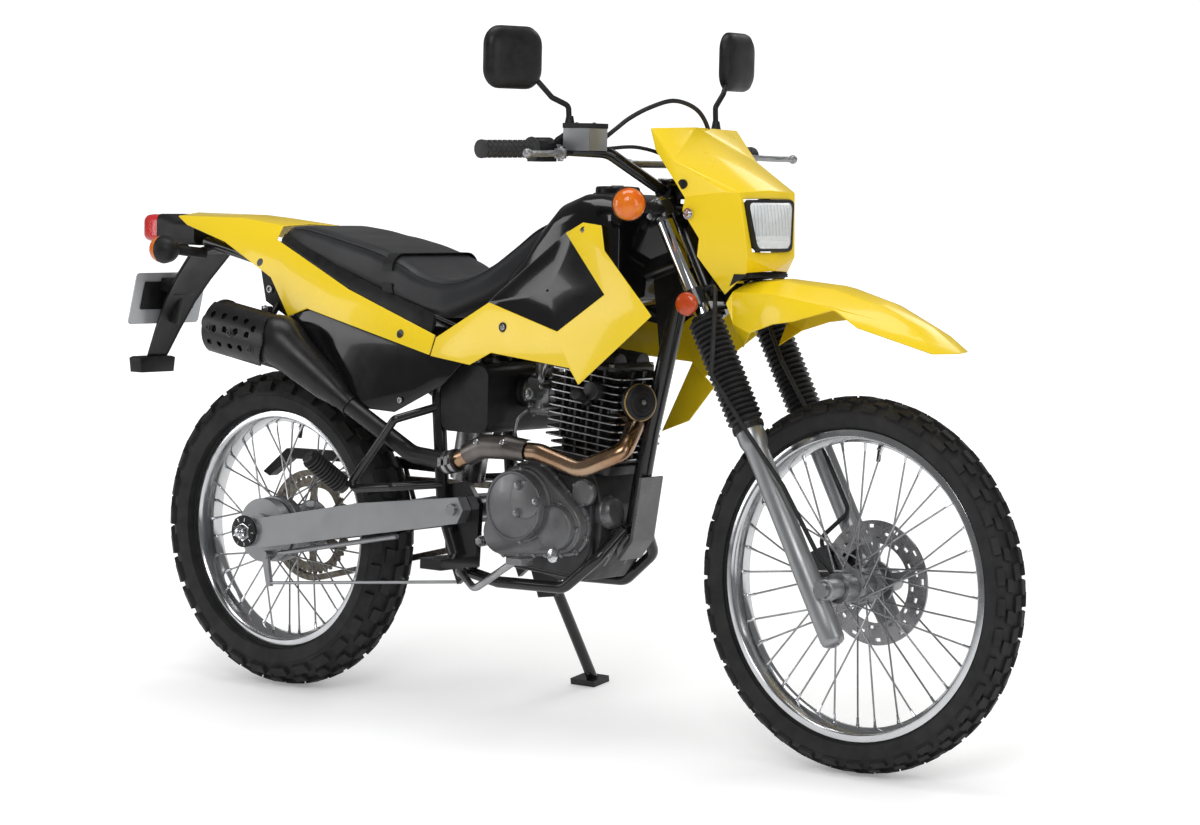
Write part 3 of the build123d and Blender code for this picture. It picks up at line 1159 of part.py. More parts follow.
def placed(point):
    return lean(Vector(*point)) + SHIFT


def placed_direction(direction):
    direction = Vector(*direction)
    y = direction.Y * math.cos(LEAN) + direction.Z * math.sin(LEAN)
    z = -direction.Y * math.sin(LEAN) + direction.Z * math.cos(LEAN)
    return Vector(direction.X, y, z)


os.makedirs("parts", exist_ok=True)
for name, shape in leaning.items():
    export_step(Pos(*SHIFT) * shape, f"parts/{name}.step")
PLACES = {
    "steering": (placed(steer(0)), placed_direction(STEER_UP)),
    "front axle": (placed((FRONT_AXLE[0], 0, FRONT_AXLE[1])), placed_direction((0, 1, 0))),
    "rear axle": (placed((REAR_AXLE[0], 0, REAR_AXLE[1])), placed_direction((0, 1, 0))),
    "side stand": (placed(STAND_PIVOT), placed_direction(STAND_AXIS)),
    "outlet": (placed(outlet_start), placed_direction(-MUFFLER_AXIS)),
    "stand foot": (Vector(STAND_FOOT.X - 8, foot_y, 0) + Vector(SHIFT.X, SHIFT.Y, 0), Vector(0, 0, -1)),
    "plate right": (placed(plate_holes[0][0]), placed_direction(-plate_holes[0][1])),
    "plate left": (placed(plate_holes[1][0]), placed_direction(-plate_holes[1][1])),
}
for name, (place, direction) in PLACES.items():
    print(name, [round(v, 4) for v in place], [round(v, 5) for v in direction])
print("stand folds", round(STAND_FOLD_DEG, 1), "degrees")
print("nodes", len(nodes), "size", [round(b - a, 1) for a, b in zip(low, high)])
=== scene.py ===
import json
import math
import bmesh
import bpy
from mathutils import Matrix, Vector


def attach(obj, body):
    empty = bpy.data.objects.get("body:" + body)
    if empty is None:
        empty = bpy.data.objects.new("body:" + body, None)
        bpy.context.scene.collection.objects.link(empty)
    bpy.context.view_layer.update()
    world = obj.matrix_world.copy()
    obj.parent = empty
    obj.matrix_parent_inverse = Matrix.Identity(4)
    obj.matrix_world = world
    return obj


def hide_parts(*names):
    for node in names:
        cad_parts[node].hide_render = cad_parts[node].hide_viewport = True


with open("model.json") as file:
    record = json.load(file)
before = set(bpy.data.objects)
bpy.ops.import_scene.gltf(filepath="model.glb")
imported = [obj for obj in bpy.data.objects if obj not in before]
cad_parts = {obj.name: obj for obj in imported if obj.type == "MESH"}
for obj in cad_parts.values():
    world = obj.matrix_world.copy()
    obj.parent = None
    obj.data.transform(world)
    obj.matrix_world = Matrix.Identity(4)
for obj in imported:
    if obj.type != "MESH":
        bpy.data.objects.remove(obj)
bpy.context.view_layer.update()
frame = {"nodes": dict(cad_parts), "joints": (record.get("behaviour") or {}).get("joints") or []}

# ---------- Place: upright millimetres, X forward from the rear axle, Z up, to the leaning row ----------
JOINTS = {joint["name"]: joint for joint in frame["joints"]}
WHEELBASE = 1405.0
FRONT_R = 336.0
REAR_R = 319.0
LEAN = math.radians(9.0)
RAKE = math.radians(28.5)
AXLE_OFFSET = 68.0
LEG_OFFSET = 35.0
LEG_Y = 95.0
REAR_AXLE = Vector((0, 0, REAR_R))
FRONT_AXLE = Vector((WHEELBASE, 0, FRONT_R))
turned_over = Matrix.Rotation(-LEAN, 4, "X")
shift = Vector(JOINTS["rear_wheel_spin"]["pos_m"]) - turned_over @ REAR_AXLE / 1000
UPRIGHT = Matrix.Translation(shift) @ turned_over @ Matrix.Scale(0.001, 4)

ROOT = "frame_assembly"
STEER = "steering_assembly"
FRONT = "front_wheel_assembly"
REAR = "rear_wheel_assembly"
AXIS_FOOT = Vector((WHEELBASE - AXLE_OFFSET * math.cos(RAKE), 0, FRONT_R - AXLE_OFFSET * math.sin(RAKE)))
STEER_UP = Vector((-math.sin(RAKE), 0, math.cos(RAKE)))
STEER_AHEAD = Vector((math.cos(RAKE), 0, math.sin(RAKE)))
SIDE = Vector((0, 1, 0))
FORWARD = Vector((1, 0, 0))
UP = Vector((0, 0, 1))


def steer(up, ahead=0.0, y=0.0):
    return AXIS_FOOT + STEER_UP * up + STEER_AHEAD * ahead + SIDE * y


# ---------- Materials ----------
class Paint:
    """A node material in the making: noise and mix helpers around one Principled shader."""

    def __init__(self, name, color, rough, metal, **inputs):
        self.mat = bpy.data.materials.new(name)
        self.mat.use_nodes = True
        self.tree = self.mat.node_tree
        self.shader = self.tree.nodes["Principled BSDF"]
        self.color, self.rough = color, rough
        self.feed(self.shader, Base_Color=(*color, 1), Roughness=rough, Metallic=metal, **inputs)
        self.where = self.node("TexCoord").outputs["Object"]

    def feed(self, node, **sockets):
        """Gives each socket its value, or links it to the output given."""
        for key, value in sockets.items():
            socket = node.inputs[key.replace("_", " ")]
            if isinstance(value, bpy.types.NodeSocket):
                self.tree.links.new(value, socket)
            else:
                socket.default_value = value
        return node

    def node(self, kind, sockets=None, **attributes):
        node = self.tree.nodes.new("ShaderNode" + kind)
        for key, value in attributes.items():
            setattr(node, key, value)
        return self.feed(node, **(sockets or {}))

    def noise(self, scale, detail=4.0, stretch=None):
        where = self.where
        if stretch:
            where = self.node("Mapping", dict(Scale=stretch, Vector=where)).outputs["Vector"]
        return self.node("TexNoise", dict(Scale=scale, Detail=detail, Vector=where)).outputs["Fac"]

    def ramp(self, value, low, high, start=0.3, end=0.7):
        sockets = dict(Value=value, From_Min=start, From_Max=end, To_Min=low, To_Max=high)
        return self.node("MapRange", sockets).outputs["Result"]

    def mix(self, other, share):
        """Another color over what the base color has so far."""
        base = self.shader.inputs["Base Color"]
        under = base.links[0].from_socket if base.links else (*self.color, 1)
        mix = self.node("Mix", dict(A=under, B=(*other, 1), Factor=share), data_type="RGBA")
        self.feed(self.shader, Base_Color=mix.outputs["Result"])

    def vary_color(self, other, scale):
        self.mix(other, self.ramp(self.noise(scale), 0.0, 1.0))

    def dust(self, color, amount, scale):
        """Pale dust in blotches."""
        self.mix(color, self.ramp(self.noise(scale, 6.0), 0.0, amount, 0.45, 0.8))

    def vary_rough(self, spread, scale):
        rough = self.ramp(self.noise(scale), self.rough - spread, self.rough + spread)
        self.feed(self.shader, Roughness=rough)

    def bump(self, height, scale, detail=3.0, stretch=None, bevel=0.0):
        bump = self.node("Bump", dict(Distance=height, Strength=1.0, Height=self.noise(scale, detail, stretch)))
        if bevel:
            edge = self.node("Bevel", dict(Radius=bevel), samples=4)
            self.feed(bump, Normal=edge.outputs["Normal"])
        self.feed(self.shader, Normal=bump.outputs["Normal"])


# Columns: material, color, roughness, metal, other inputs, (second color, its scale), (roughness spread, its scale),
# (bump height in metres, scale, detail, stretch, edge radius in metres)
FINISHES = {
    "yellow": ("yellow_gloss", (0.84, 0.6, 0.008), 0.3, 0,
        dict(Specular_IOR_Level=0.35, Coat_Weight=0.35, Coat_Roughness=0.05),
        ((0.81, 0.575, 0.007), 3), (0.05, 14), None),
    "plastic": ("black_satin_plastic", (0.007, 0.007, 0.008), 0.42, 0, dict(Specular_IOR_Level=0.28),
        ((0.014, 0.014, 0.015), 60), (0.08, 30), (0.00006, 2200, 2, None, 0.0012)),
    "gloss": ("black_gloss_plastic", (0.003, 0.003, 0.0035), 0.14, 0,
        dict(Specular_IOR_Level=0.3, Coat_Weight=0.35, Coat_Roughness=0.04),
        ((0.006, 0.006, 0.007), 8), (0.04, 20), None),
    "frame": ("frame_gloss_black", (0.006, 0.006, 0.007), 0.22, 0,
        dict(Specular_IOR_Level=0.35, Coat_Weight=0.4, Coat_Roughness=0.08),
        ((0.012, 0.012, 0.013), 25), (0.07, 18), (0.00003, 500, 3, None, 0.0015)),
    "tyre": ("tyre_rubber", (0.011, 0.011, 0.012), 0.62, 0, dict(Specular_IOR_Level=0.3),
        ((0.02, 0.02, 0.02), 40), (0.1, 22), (0.0001, 900)),
    "rubber": ("black_rubber", (0.009, 0.009, 0.01), 0.45, 0, dict(Specular_IOR_Level=0.35),
        ((0.016, 0.016, 0.017), 50), (0.1, 26), (0.00005, 1500)),
    "vinyl": ("seat_vinyl", (0.01, 0.0105, 0.012), 0.4, 0, dict(Specular_IOR_Level=0.4, Sheen_Weight=0.06),
        ((0.017, 0.0175, 0.02), 7), (0.06, 16), (0.00022, 1300, 5)),
    "vinyl_top": ("seat_top_vinyl", (0.011, 0.0115, 0.013), 0.46, 0, dict(Specular_IOR_Level=0.4, Sheen_Weight=0.06),
        ((0.018, 0.0185, 0.021), 9), (0.06, 20), (0.0003, 800, 5)),
    "cast": ("cast_alloy", (0.3, 0.305, 0.315), 0.4, 0.85, dict(),
        ((0.25, 0.255, 0.265), 30), (0.09, 40), (0.00012, 700, 3, None, 0.0012)),
    "slider": ("slider_alloy", (0.36, 0.365, 0.375), 0.36, 0.8, dict(),
        ((0.33, 0.335, 0.345), 12), (0.07, 25), (0.00003, 900, 3, None, 0.0012)),
    "bright": ("polished_alloy", (0.72, 0.73, 0.75), 0.16, 1, dict(),
        ((0.6, 0.61, 0.63), 16), (0.06, 30), (0.00002, 800)),
    "chrome": ("hard_chrome", (0.82, 0.83, 0.85), 0.07, 1, dict(),
        ((0.74, 0.75, 0.77), 10), (0.03, 30), (0.00001, 600)),
    "steel": ("zinc_steel", (0.4, 0.4, 0.41), 0.32, 1, dict(),
        ((0.3, 0.3, 0.31), 40), (0.1, 40), (0.00004, 900, 3, None, 0.0008)),
    "disc": ("disc_steel", (0.5, 0.5, 0.52), 0.27, 1, dict(),
        ((0.38, 0.37, 0.38), 30), (0.07, 60), (0.00003, 1600)),
    "case": ("engine_grey", (0.13, 0.131, 0.136), 0.34, 0.6, dict(),
        ((0.17, 0.17, 0.175), 26), (0.08, 40), (0.0001, 800, 3, None, 0.0015)),
    "dark_case": ("engine_dark", (0.026, 0.026, 0.028), 0.4, 0.4, dict(),
        ((0.05, 0.05, 0.053), 30), (0.08, 40), (0.00012, 700, 3, None, 0.0015)),
    "fin": ("fin_black", (0.01, 0.01, 0.011), 0.42, 0.1, dict(Specular_IOR_Level=0.4),
        ((0.028, 0.028, 0.03), 50), (0.1, 40), (0.0001, 900)),
    "edge": ("fin_edge", (0.5, 0.5, 0.51), 0.3, 1, dict(),
        ((0.36, 0.36, 0.37), 90), (0.1, 60), (0.00004, 1200)),
    "header": ("header_heat_tint", (0.36, 0.21, 0.12), 0.24, 1, dict(),
        ((0.5, 0.36, 0.25), 14), (0.07, 40), (0.00004, 400)),
    "muffler": ("muffler_black", (0.008, 0.008, 0.009), 0.34, 0.1, dict(Specular_IOR_Level=0.4),
        ((0.017, 0.016, 0.016), 12), (0.09, 30), (0.00005, 900, 3, None, 0.0012)),
    "chain": ("chain_steel", (0.26, 0.24, 0.2), 0.4, 0.9, dict(),
        ((0.1, 0.085, 0.07), 120), (0.12, 80), (0.0001, 800)),
    "amber": ("amber_lens", (0.86, 0.13, 0.003), 0.12, 0, dict(Transmission_Weight=0.25, IOR=1.45, Coat_Weight=0.5),
        ((0.95, 0.26, 0.01), 30), (0.04, 30), (0.0004, 260, 0)),
    "reflector": ("amber_reflector", (0.42, 0.045, 0.004), 0.16, 0, dict(Coat_Weight=0.5),
        ((0.5, 0.06, 0.006), 160), (0.05, 30), (0.0004, 500, 0)),
    "red": ("red_lens", (0.55, 0.008, 0.01), 0.14, 0, dict(Transmission_Weight=0.15, IOR=1.45, Coat_Weight=0.6),
        ((0.75, 0.03, 0.03), 12), (0.04, 30), (0.0004, 320, 0, (1, 0.1, 1))),
    "glass": ("clear_lens", (0.97, 0.98, 0.98), 0.05, 0, dict(Transmission_Weight=0.95, IOR=1.3),
        ((0.93, 0.95, 0.96), 10), (0.02, 20), None),
    # The lamp reflector's emission is a painted glow standing in for reflected studio light; the headlamp is not lit
    "lamp_bowl": ("lamp_reflector_painted_glow", (0.9, 0.9, 0.91), 0.16, 0.8,
        dict(Emission_Color=(1, 1, 0.97, 1), Emission_Strength=0.45),
        ((0.76, 0.76, 0.78), 20), (0.04, 60), (0.0001, 200, 1)),
    "mirror": ("mirror_glass", (0.8, 0.82, 0.84), 0.03, 1, dict(),
        ((0.74, 0.77, 0.8), 5), (0.01, 10), None),
    "plate": ("plate_back", (0.55, 0.56, 0.58), 0.4, 0.3, dict(),
        ((0.46, 0.47, 0.49), 9), (0.08, 20), (0.00004, 300)),
    "grip": ("grip_rubber", (0.02, 0.02, 0.021), 0.6, 0, dict(),
        ((0.035, 0.035, 0.036), 40), (0.08, 30), (0.0001, 900)),
    "shield": ("heat_shield_steel", (0.2, 0.185, 0.175), 0.36, 1, dict(),
        ((0.13, 0.115, 0.105), 18), (0.08, 30), (0.00005, 600)),
    "brass": ("brass_fitting", (0.5, 0.33, 0.12), 0.32, 1, dict(),
        ((0.38, 0.25, 0.1), 60), (0.08, 40), (0.00004, 700)),
    "floor": ("studio_floor", (0.9, 0.9, 0.9), 0.7, 0, dict(Specular_IOR_Level=0.2, Emission_Color=(1, 1, 1, 1)),
        ((0.895, 0.895, 0.897), 0.7), (0.03, 2), None),
}
TYRE_DUST = ((0.045, 0.042, 0.038), 0.3, 14)
FLOOR_GLOW = (0.22, 0.6, 1.2, 4.5)  # what the camera sees added to the floor: near, far, and their distances in metres


def make_materials():
    made = {}
    for key, (name, color, rough, metal, inputs, vary, roughen, bump) in FINISHES.items():
        paint = Paint(name, color, rough, metal, **inputs)
        paint.vary_color(*vary)
        if key == "tyre":
            paint.dust(*TYRE_DUST)
        paint.vary_rough(*roughen)
        if bump:
            paint.bump(*bump)
        made[key] = paint.mat
    seen = paint.node("LightPath").outputs["Is Camera Ray"]
    away = paint.node("VectorMath", {"Vector": paint.where}, operation="LENGTH")
    glow = paint.node("Math", operation="MULTIPLY")
    for socket, value in zip(glow.inputs, (seen, paint.ramp(away.outputs["Value"], *FLOOR_GLOW))):
        paint.tree.links.new(value, socket)
    paint.feed(paint.shader, Emission_Strength=glow.outputs["Value"])
    return made


MAT = make_materials()


# ---------- Mesh building, in upright millimetres ----------
SIDES = (-1, 1)
CORNERS = ((1, 1), (-1, 1), (-1, -1), (1, -1))


def angles(count, start=0.0):
    """Angles spread evenly over a full turn."""
    return [start + math.tau * i / count for i in range(count)]


def polar(r, a):
    """Point at a radius and angle, as (x, z) from straight up."""
    return r * math.sin(a), r * math.cos(a)


def radial(a, r=1.0, y=0.0):
    """Vector square to a wheel's axle, turned from straight up toward the front."""
    return Vector((r * math.sin(a), y, r * math.cos(a)))


def circle(at, u, v, r, n):
    return [at + (u * math.cos(t) + v * math.sin(t)) * r for t in angles(n)]


def round_rect(half_u, half_v, corner, n):
    """Rounded rectangle round the origin as (u, v) points, n steps to a corner."""
    line = []
    for quarter, (su, sv) in enumerate(CORNERS):
        for i in range(n + 1):
            a = math.pi / 2 * (quarter + i / n)
            line.append((su * (half_u - corner) + corner * math.cos(a), sv * (half_v - corner) + corner * math.sin(a)))
    return line


def basis(axis, hint=UP):
    """Two directions square to an axis."""
    axis = Vector(axis).normalized()
    if abs(axis.dot(hint)) > 0.98:
        hint = FORWARD
    u = (hint - axis * hint.dot(axis)).normalized()
    return u, axis.cross(u)


WELD = 0.02  # points nearer than this are one


class Build:
    """One bmesh with drawing helpers; done() turns it into a piece that rides on a body."""

    def __init__(self):
        self.bm = bmesh.new()
        self.slot = 0

    def face(self, points):
        self.skin([self.bm.verts.new(p) for p in points])

    def skin(self, verts):
        self.bm.faces.new(verts).material_index = self.slot

    def rings(self, rings, closed_ends=True, close_rings=True, loop=False):
        """Skin over rows of points."""
        rows = [[self.bm.verts.new(p) for p in ring] for ring in rings]
        count = len(rows[0])
        for i in range(len(rows) if loop else len(rows) - 1):
            a, b = rows[i], rows[(i + 1) % len(rows)]
            for j in range(count if close_rings else count - 1):
                k = (j + 1) % count
                self.skin((a[j], a[k], b[k], b[j]))
        if closed_ends and not loop:
            self.skin(list(reversed(rows[0])))
            self.skin(rows[-1])

    def rod(self, a, b, r, r2=None, n=20):
        a, b = Vector(a), Vector(b)
        u, v = basis(b - a)
        self.rings([circle(a, u, v, r, n), circle(b, u, v, r if r2 is None else r2, n)])

    def lathe(self, outline, at, along, n=48, closed=True):
        """Solid of revolution from (distance along, radius) rows."""
        at, along = Vector(at), Vector(along).normalized()
        u, v = basis(along)
        rings = []
        for t in angles(n):
            out = u * math.cos(t) + v * math.sin(t)
            rings.append([at + along * d + out * max(r, 0.01) for d, r in outline])
        self.rings(rings, closed_ends=False, close_rings=closed, loop=True)

    def tube(self, points, r, n=12):
        """Round bar along a line of points; r is one radius or one a point."""
        points = [Vector(p) for p in points]
        radii = r if isinstance(r, (list, tuple)) else [r] * len(points)
        u = None
        rings = []
        for i, p in enumerate(points):
            before, after = points[max(i - 1, 0)], points[min(i + 1, len(points) - 1)]
            along = (after - before).normalized()
            if u is None:
                u, v = basis(along)
            else:
                u = (u - along * u.dot(along)).normalized()
                v = along.cross(u)
            rings.append(circle(p, u, v, radii[i], n))
        self.rings(rings)

    def box(self, at, size, axes=(FORWARD, SIDE, UP)):
        at = Vector(at)
        x, y, z = [Vector(a) * s / 2 for a, s in zip(axes, size)]
        low = [at - x - y - z, at + x - y - z, at + x + y - z, at - x + y - z]
        self.rings([low, [p + z * 2 for p in low]])

    def prism(self, outline, at, u, v, depth):
        """Flat outline in (u, v) pushed by the vector depth."""
        at, u, v, depth = Vector(at), Vector(u), Vector(v), Vector(depth)
        low = [at + u * a + v * b for a, b in outline]
        self.rings([low, [p + depth for p in low]])

    def ball(self, at, r, steps=12):
        turns = [math.pi * i / steps for i in range(steps + 1)]
        outline = [(-r * math.cos(t), max(r * math.sin(t), 0.05)) for t in turns]
        self.lathe(outline, at, UP, 20, closed=False)

    def bolt(self, at, axis, r=6.0, height=5.0, kind="hex"):
        """Bolt head standing on a face: hex, cap with socket, or a domed cross head."""
        h = height
        facets, rows = {
            "hex": (6, [(0, r * 1.25), (1, r * 1.25), (1, r), (h * 0.85, r), (h, r * 0.8), (h, 0)]),
            "cap": (18, [(0, r), (h * 0.9, r), (h, r * 0.9), (h, r * 0.5), (h * 0.4, r * 0.5), (h * 0.4, 0)]),
            "dome": (16, [(0, r), (h * 0.4, r * 0.95), (h * 0.8, r * 0.6), (h, r * 0.3), (h * 0.6, 0)]),
        }[kind]
        self.lathe([(0, 0)] + rows, at, Vector(axis).normalized(), facets)

    def mirrored(self):
        """Adds the other side of everything drawn so far."""
        copy = bmesh.ops.duplicate(self.bm, geom=self.bm.verts[:] + self.bm.edges[:] + self.bm.faces[:])["geom"]
        for vert in copy:
            if isinstance(vert, bmesh.types.BMVert):
                vert.co.y = -vert.co.y
        bmesh.ops.reverse_faces(self.bm, faces=[f for f in copy if isinstance(f, bmesh.types.BMFace)])

    def done(self, name, body, mats, replaces=(), solid=0.0, bevel=0.0, subdiv=0, sharp=32.0, segments=2, weld=True):
        """Applies the modifiers, places the mesh, marks its sharp edges and lets it ride."""
        if weld:
            bmesh.ops.remove_doubles(self.bm, verts=self.bm.verts[:], dist=WELD)
        bmesh.ops.recalc_face_normals(self.bm, faces=self.bm.faces[:])
        mesh = bpy.data.meshes.new(name)
        for mat in [mats] if isinstance(mats, str) else mats:
            mesh.materials.append(MAT[mat])
        self.bm.to_mesh(mesh)
        self.bm.free()
        obj = bpy.data.objects.new(name, mesh)
        bpy.context.collection.objects.link(obj)
        if solid:
            shell = obj.modifiers.new("shell", "SOLIDIFY")
            shell.thickness, shell.offset, shell.use_even_offset = solid, -1, True
        if bevel:
            edges = obj.modifiers.new("bevel", "BEVEL")
            edges.width, edges.segments, edges.harden_normals = bevel, segments, False
            edges.limit_method, edges.angle_limit = "ANGLE", math.radians(20)
        if subdiv:
            smooth = obj.modifiers.new("subdivision", "SUBSURF")
            smooth.levels = smooth.render_levels = subdiv
        if obj.modifiers:
            graph = bpy.context.evaluated_depsgraph_get()
            mesh = bpy.data.meshes.new_from_object(obj.evaluated_get(graph))
            obj.modifiers.clear()
            obj.data = mesh
        mesh.transform(UPRIGHT)
        bm = bmesh.new()
        bm.from_mesh(mesh)
        limit = math.radians(sharp)
        for edge in bm.edges:
            edge.smooth = len(edge.link_faces) == 2 and edge.calc_face_angle(0) < limit
        for face in bm.faces:
            face.smooth = True
        bm.to_mesh(mesh)
        bm.free()
        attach(obj, body)
        if replaces:
            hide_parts(*replaces)
        return obj


def curve_through(points, steps=10):
    """Smooth line through points."""
    points = [Vector(p) for p in points]
    ends = [points[0] * 2 - points[1]] + points + [points[-1] * 2 - points[-2]]
    line = []
    for a, b, c, d in zip(ends, ends[1:], ends[2:], ends[3:]):
        for k in range(steps):
            t = k / steps
            square = 2 * a - 5 * b + 4 * c - d
            line.append(0.5 * (2 * b + (c - a) * t + square * t**2 + (3 * b - a - 3 * c + d) * t**3))
    return line + [points[-1]]


def rounded(points, bend, steps=6):
    """Straight runs joined by arcs of one bend radius or one a corner."""
    points = [Vector(p) for p in points]
    bends = bend if isinstance(bend, (list, tuple)) else [bend] * (len(points) - 2)
    line = [points[0]]
    for before, p, after, r in zip(points, points[1:], points[2:], bends):
        a, b = (before - p).normalized(), (after - p).normalized()
        half = a.angle(b) / 2
        start, end = p + a * r / math.tan(half), p + b * r / math.tan(half)
        centre = p + (a + b).normalized() * (r / math.sin(half))
        line += [centre + (start.lerp(end, k / steps) - centre).normalized() * r for k in range(steps + 1)]
    return line + [points[-1]]


# CAD nodes that stay, by their finish
KEPT = {
    "frame": (
        "fork_yokes", "frame_spine", "frame_downtube", "frame_uprights", "frame_cradle", "seat_rails", "side_stand",
        "foot_pegs",
    ),
    "steel": ("front_axle", "swingarm_pivot", "foot_controls", "rear_axle", "rear_shock"),
    "plastic": ("airbox", "chain_guard"),
    "slider": ("swingarm_arms", "rear_brake"),
    "rubber": ("brake_hose", "speedometer_cable"),
    "gloss": ("handlebar",),
    "case": ("guard_plate",),
    "chain": ("chain",),
    "dark_case": ("brake_caliper",),
}


def kept_nodes():
    for finish, nodes in KEPT.items():
        for node in nodes:
            mesh = frame["nodes"][node].data
            mesh.materials.clear()
            mesh.materials.append(MAT[finish])


# ---------- Tyres and wheels ----------
LUG_ROOT, LUG_TAPER = 3.0, 0.1


def lug(b, centre, radius_at, angle, y, length, width, height, skew):
    """Tread block following the crown: a box bent over the tyre's profile, drawn from its foot to its top."""
    low, high = [], []
    for s, t in ((-1, -1), (1, -1), (1, 1), (-1, 1)):
        yy = y + t * width / 2
        r, nx, ny = radius_at(yy)
        out = radial(angle + (s * length / 2 + skew * t * width / 2) / r)
        for row, rise in ((low, -LUG_ROOT), (high, height)):
            row.append(centre + out * (r + rise * nx) + SIDE * (yy + rise * ny))
    middle = sum(high, Vector()) / 4
    b.rings([low, [p.lerp(middle, LUG_TAPER) for p in high]])


def build_tyre(name, body, centre, size, lugs, depth):
    """Carcass with beads, then rows of tread blocks."""
    b = Build()
    radius, half, crown = size["radius"] - depth, size["half"], size["crown"]
    edge = half - 3
    shoulder = radius - crown + math.sqrt(crown**2 - edge**2)
    bead_r, lip = size["flange_r"], size["flange_y"] - 1.9
    flank = (bead_r + shoulder) / 2 + 3
    right = [(lip, bead_r - 8), (lip, bead_r + 1), (lip + 1.5, bead_r + 5), (half - 5, flank - 16), (half - 1, flank)]
    right += [(half - 0.6, flank + 9), (half - 1.6, flank + 9.6), (edge, shoulder)]
    arc = [(y, radius - crown + math.sqrt(crown**2 - y**2)) for y in [edge - edge * i / 7 for i in range(1, 14)]]
    left = [(-y, r) for y, r in reversed(right)]
    inside = [(-lip + 8, bead_r - 8), (-half + 12, flank), (0, radius - 12), (half - 12, flank), (lip - 8, bead_r - 8)]
    b.lathe(right + arc + left + inside, centre, SIDE, 96)

    def radius_at(y):
        r = radius - crown + math.sqrt(max(crown**2 - min(abs(y), crown * 0.98) ** 2, 4.0))
        slope = y / crown
        return r, math.sqrt(max(1 - slope * slope, 0.05)), slope

    for count, offset, y, length, width, skew in lugs:
        for i in range(count):
            for side, shift in ((1, 0), (-1, 0.5)):
                angle = math.tau * (i + offset + shift) / count
                lug(b, centre, radius_at, angle, side * y, length, width, depth - 0.5, skew * side)
    b.done(name, body, "tyre", (size["node"],), sharp=30, weld=False)


FRONT_SIZE = dict(radius=FRONT_R, half=37.0, crown=43.0, flange_r=277.0, flange_y=26.0, node="front_tyre")
REAR_SIZE = dict(radius=REAR_R, half=54.0, crown=56.0, flange_r=239.0, flange_y=32.0, node="rear_tyre")
# count, offset, y, length round, width, skew
FRONT_LUGS = [(38, 0.0, 7.5, 30, 11, 0.25), (38, 0.42, 20.5, 24, 9, -0.3), (38, 0.1, 31.5, 32, 8, 0.1)]
REAR_LUGS = [(30, 0.0, 8.5, 36, 14, 0.3), (30, 0.45, 27, 30, 15, -0.25), (30, 0.08, 45, 40, 11, 0.1)]

SPOKES = 36
VALVE_AT = math.radians(8)


def rim_mesh(name, body, centre, size, bead, hub_rows, node, wheel_extra):
    """Rim, nipples, spokes and valve, then the hub from wheel_extra."""
    b = Build()
    edge, lip = size["flange_y"] + 1.5, size["flange_y"] - 1.5
    bead -= 0.3
    half = [(0, bead - 9), (lip * 0.45, bead - 9), (lip - 8, bead), (lip, bead), (lip + 0.1, size["flange_r"] - 1)]
    half += [(lip + 1, size["flange_r"]), (edge - 0.8, size["flange_r"]), (edge, size["flange_r"] - 1.5),
        (edge, bead - 1)]
    half += [(edge - 2.5, bead - 4), (edge - 7, bead - 6), (lip * 0.5, bead - 12), (0, bead - 13)]
    b.lathe(half[:-1] + [(-y, r) for y, r in reversed(half[1:])], centre, SIDE, 120)
    well = bead - 12.5
    for i, a in enumerate(angles(SPOKES)):
        side, y_in, y_out, hub_r, spread = hub_rows[i % 2]
        turn = 1 if (i // 2) % 2 else -1
        start = centre + radial(a + turn * math.radians(spread), hub_r, side * (y_out if turn > 0 else y_in))
        end = centre + radial(a, well, side * 5)
        run = (end - start).normalized()
        b.slot = 1
        b.rod(start, end, 1.75, n=8)
        head = -SIDE * turn * side
        b.rod(start + head, start + head * 3.4, 3.6, 2.6, n=10)
        b.slot = 2
        b.lathe([(0, 0), (0, 2.4), (10, 2.6), (13, 3.4), (16.5, 3.6), (16.5, 0)], end - run * 16, run, 8)
    out = radial(VALVE_AT)
    b.slot = 3
    b.rod(centre + out * (well + 1), centre + out * (well - 30), 4.2, 3.8, n=14)
    b.slot = 0
    b.rod(centre + out * (well - 6), centre + out * (well - 9), 6.5, n=6)
    wheel_extra(b)
    b.done(name, body, ["bright", "steel", "bright", "rubber", "cast", "disc", "chain"], (node,), sharp=35, weld=False)


def toothed(root, tip, teeth):
    """Outline of a toothed ring."""
    step = math.tau / teeth
    shape = ((-0.5, root), (-0.28, root + 1), (-0.12, tip), (0.12, tip), (0.28, root + 1))
    return [polar(r, a + share * step) for a in angles(teeth) for share, r in shape]


def ring_plate(b, centre, y_low, y_high, outer, inner):
    """Flat ring between two closed outlines with the same number of points."""
    edges = ((outer, y_low), (outer, y_high), (inner, y_high), (inner, y_low))
    b.rings([[centre + Vector((x, y, z)) for x, z in line] for line, y in edges], closed_ends=False, loop=True)


def scallop(count, base, depth, waves, phase):
    return [polar(base + depth * math.cos(waves * a + phase), a) for a in angles(count)]


def hub_bolts(b, centre, y, radius, count, size, kind="hex"):
    for a in angles(count):
        b.bolt(centre + radial(a, radius, y), SIDE, size, size * 0.8, kind)


def spider(b, at, arms, outline, thick):
    """Flat arms round the axle, each an outline in (round, out)."""
    for a in angles(arms):
        b.prism(outline, at, Vector((math.cos(a), 0, -math.sin(a))), radial(a), SIDE * thick)


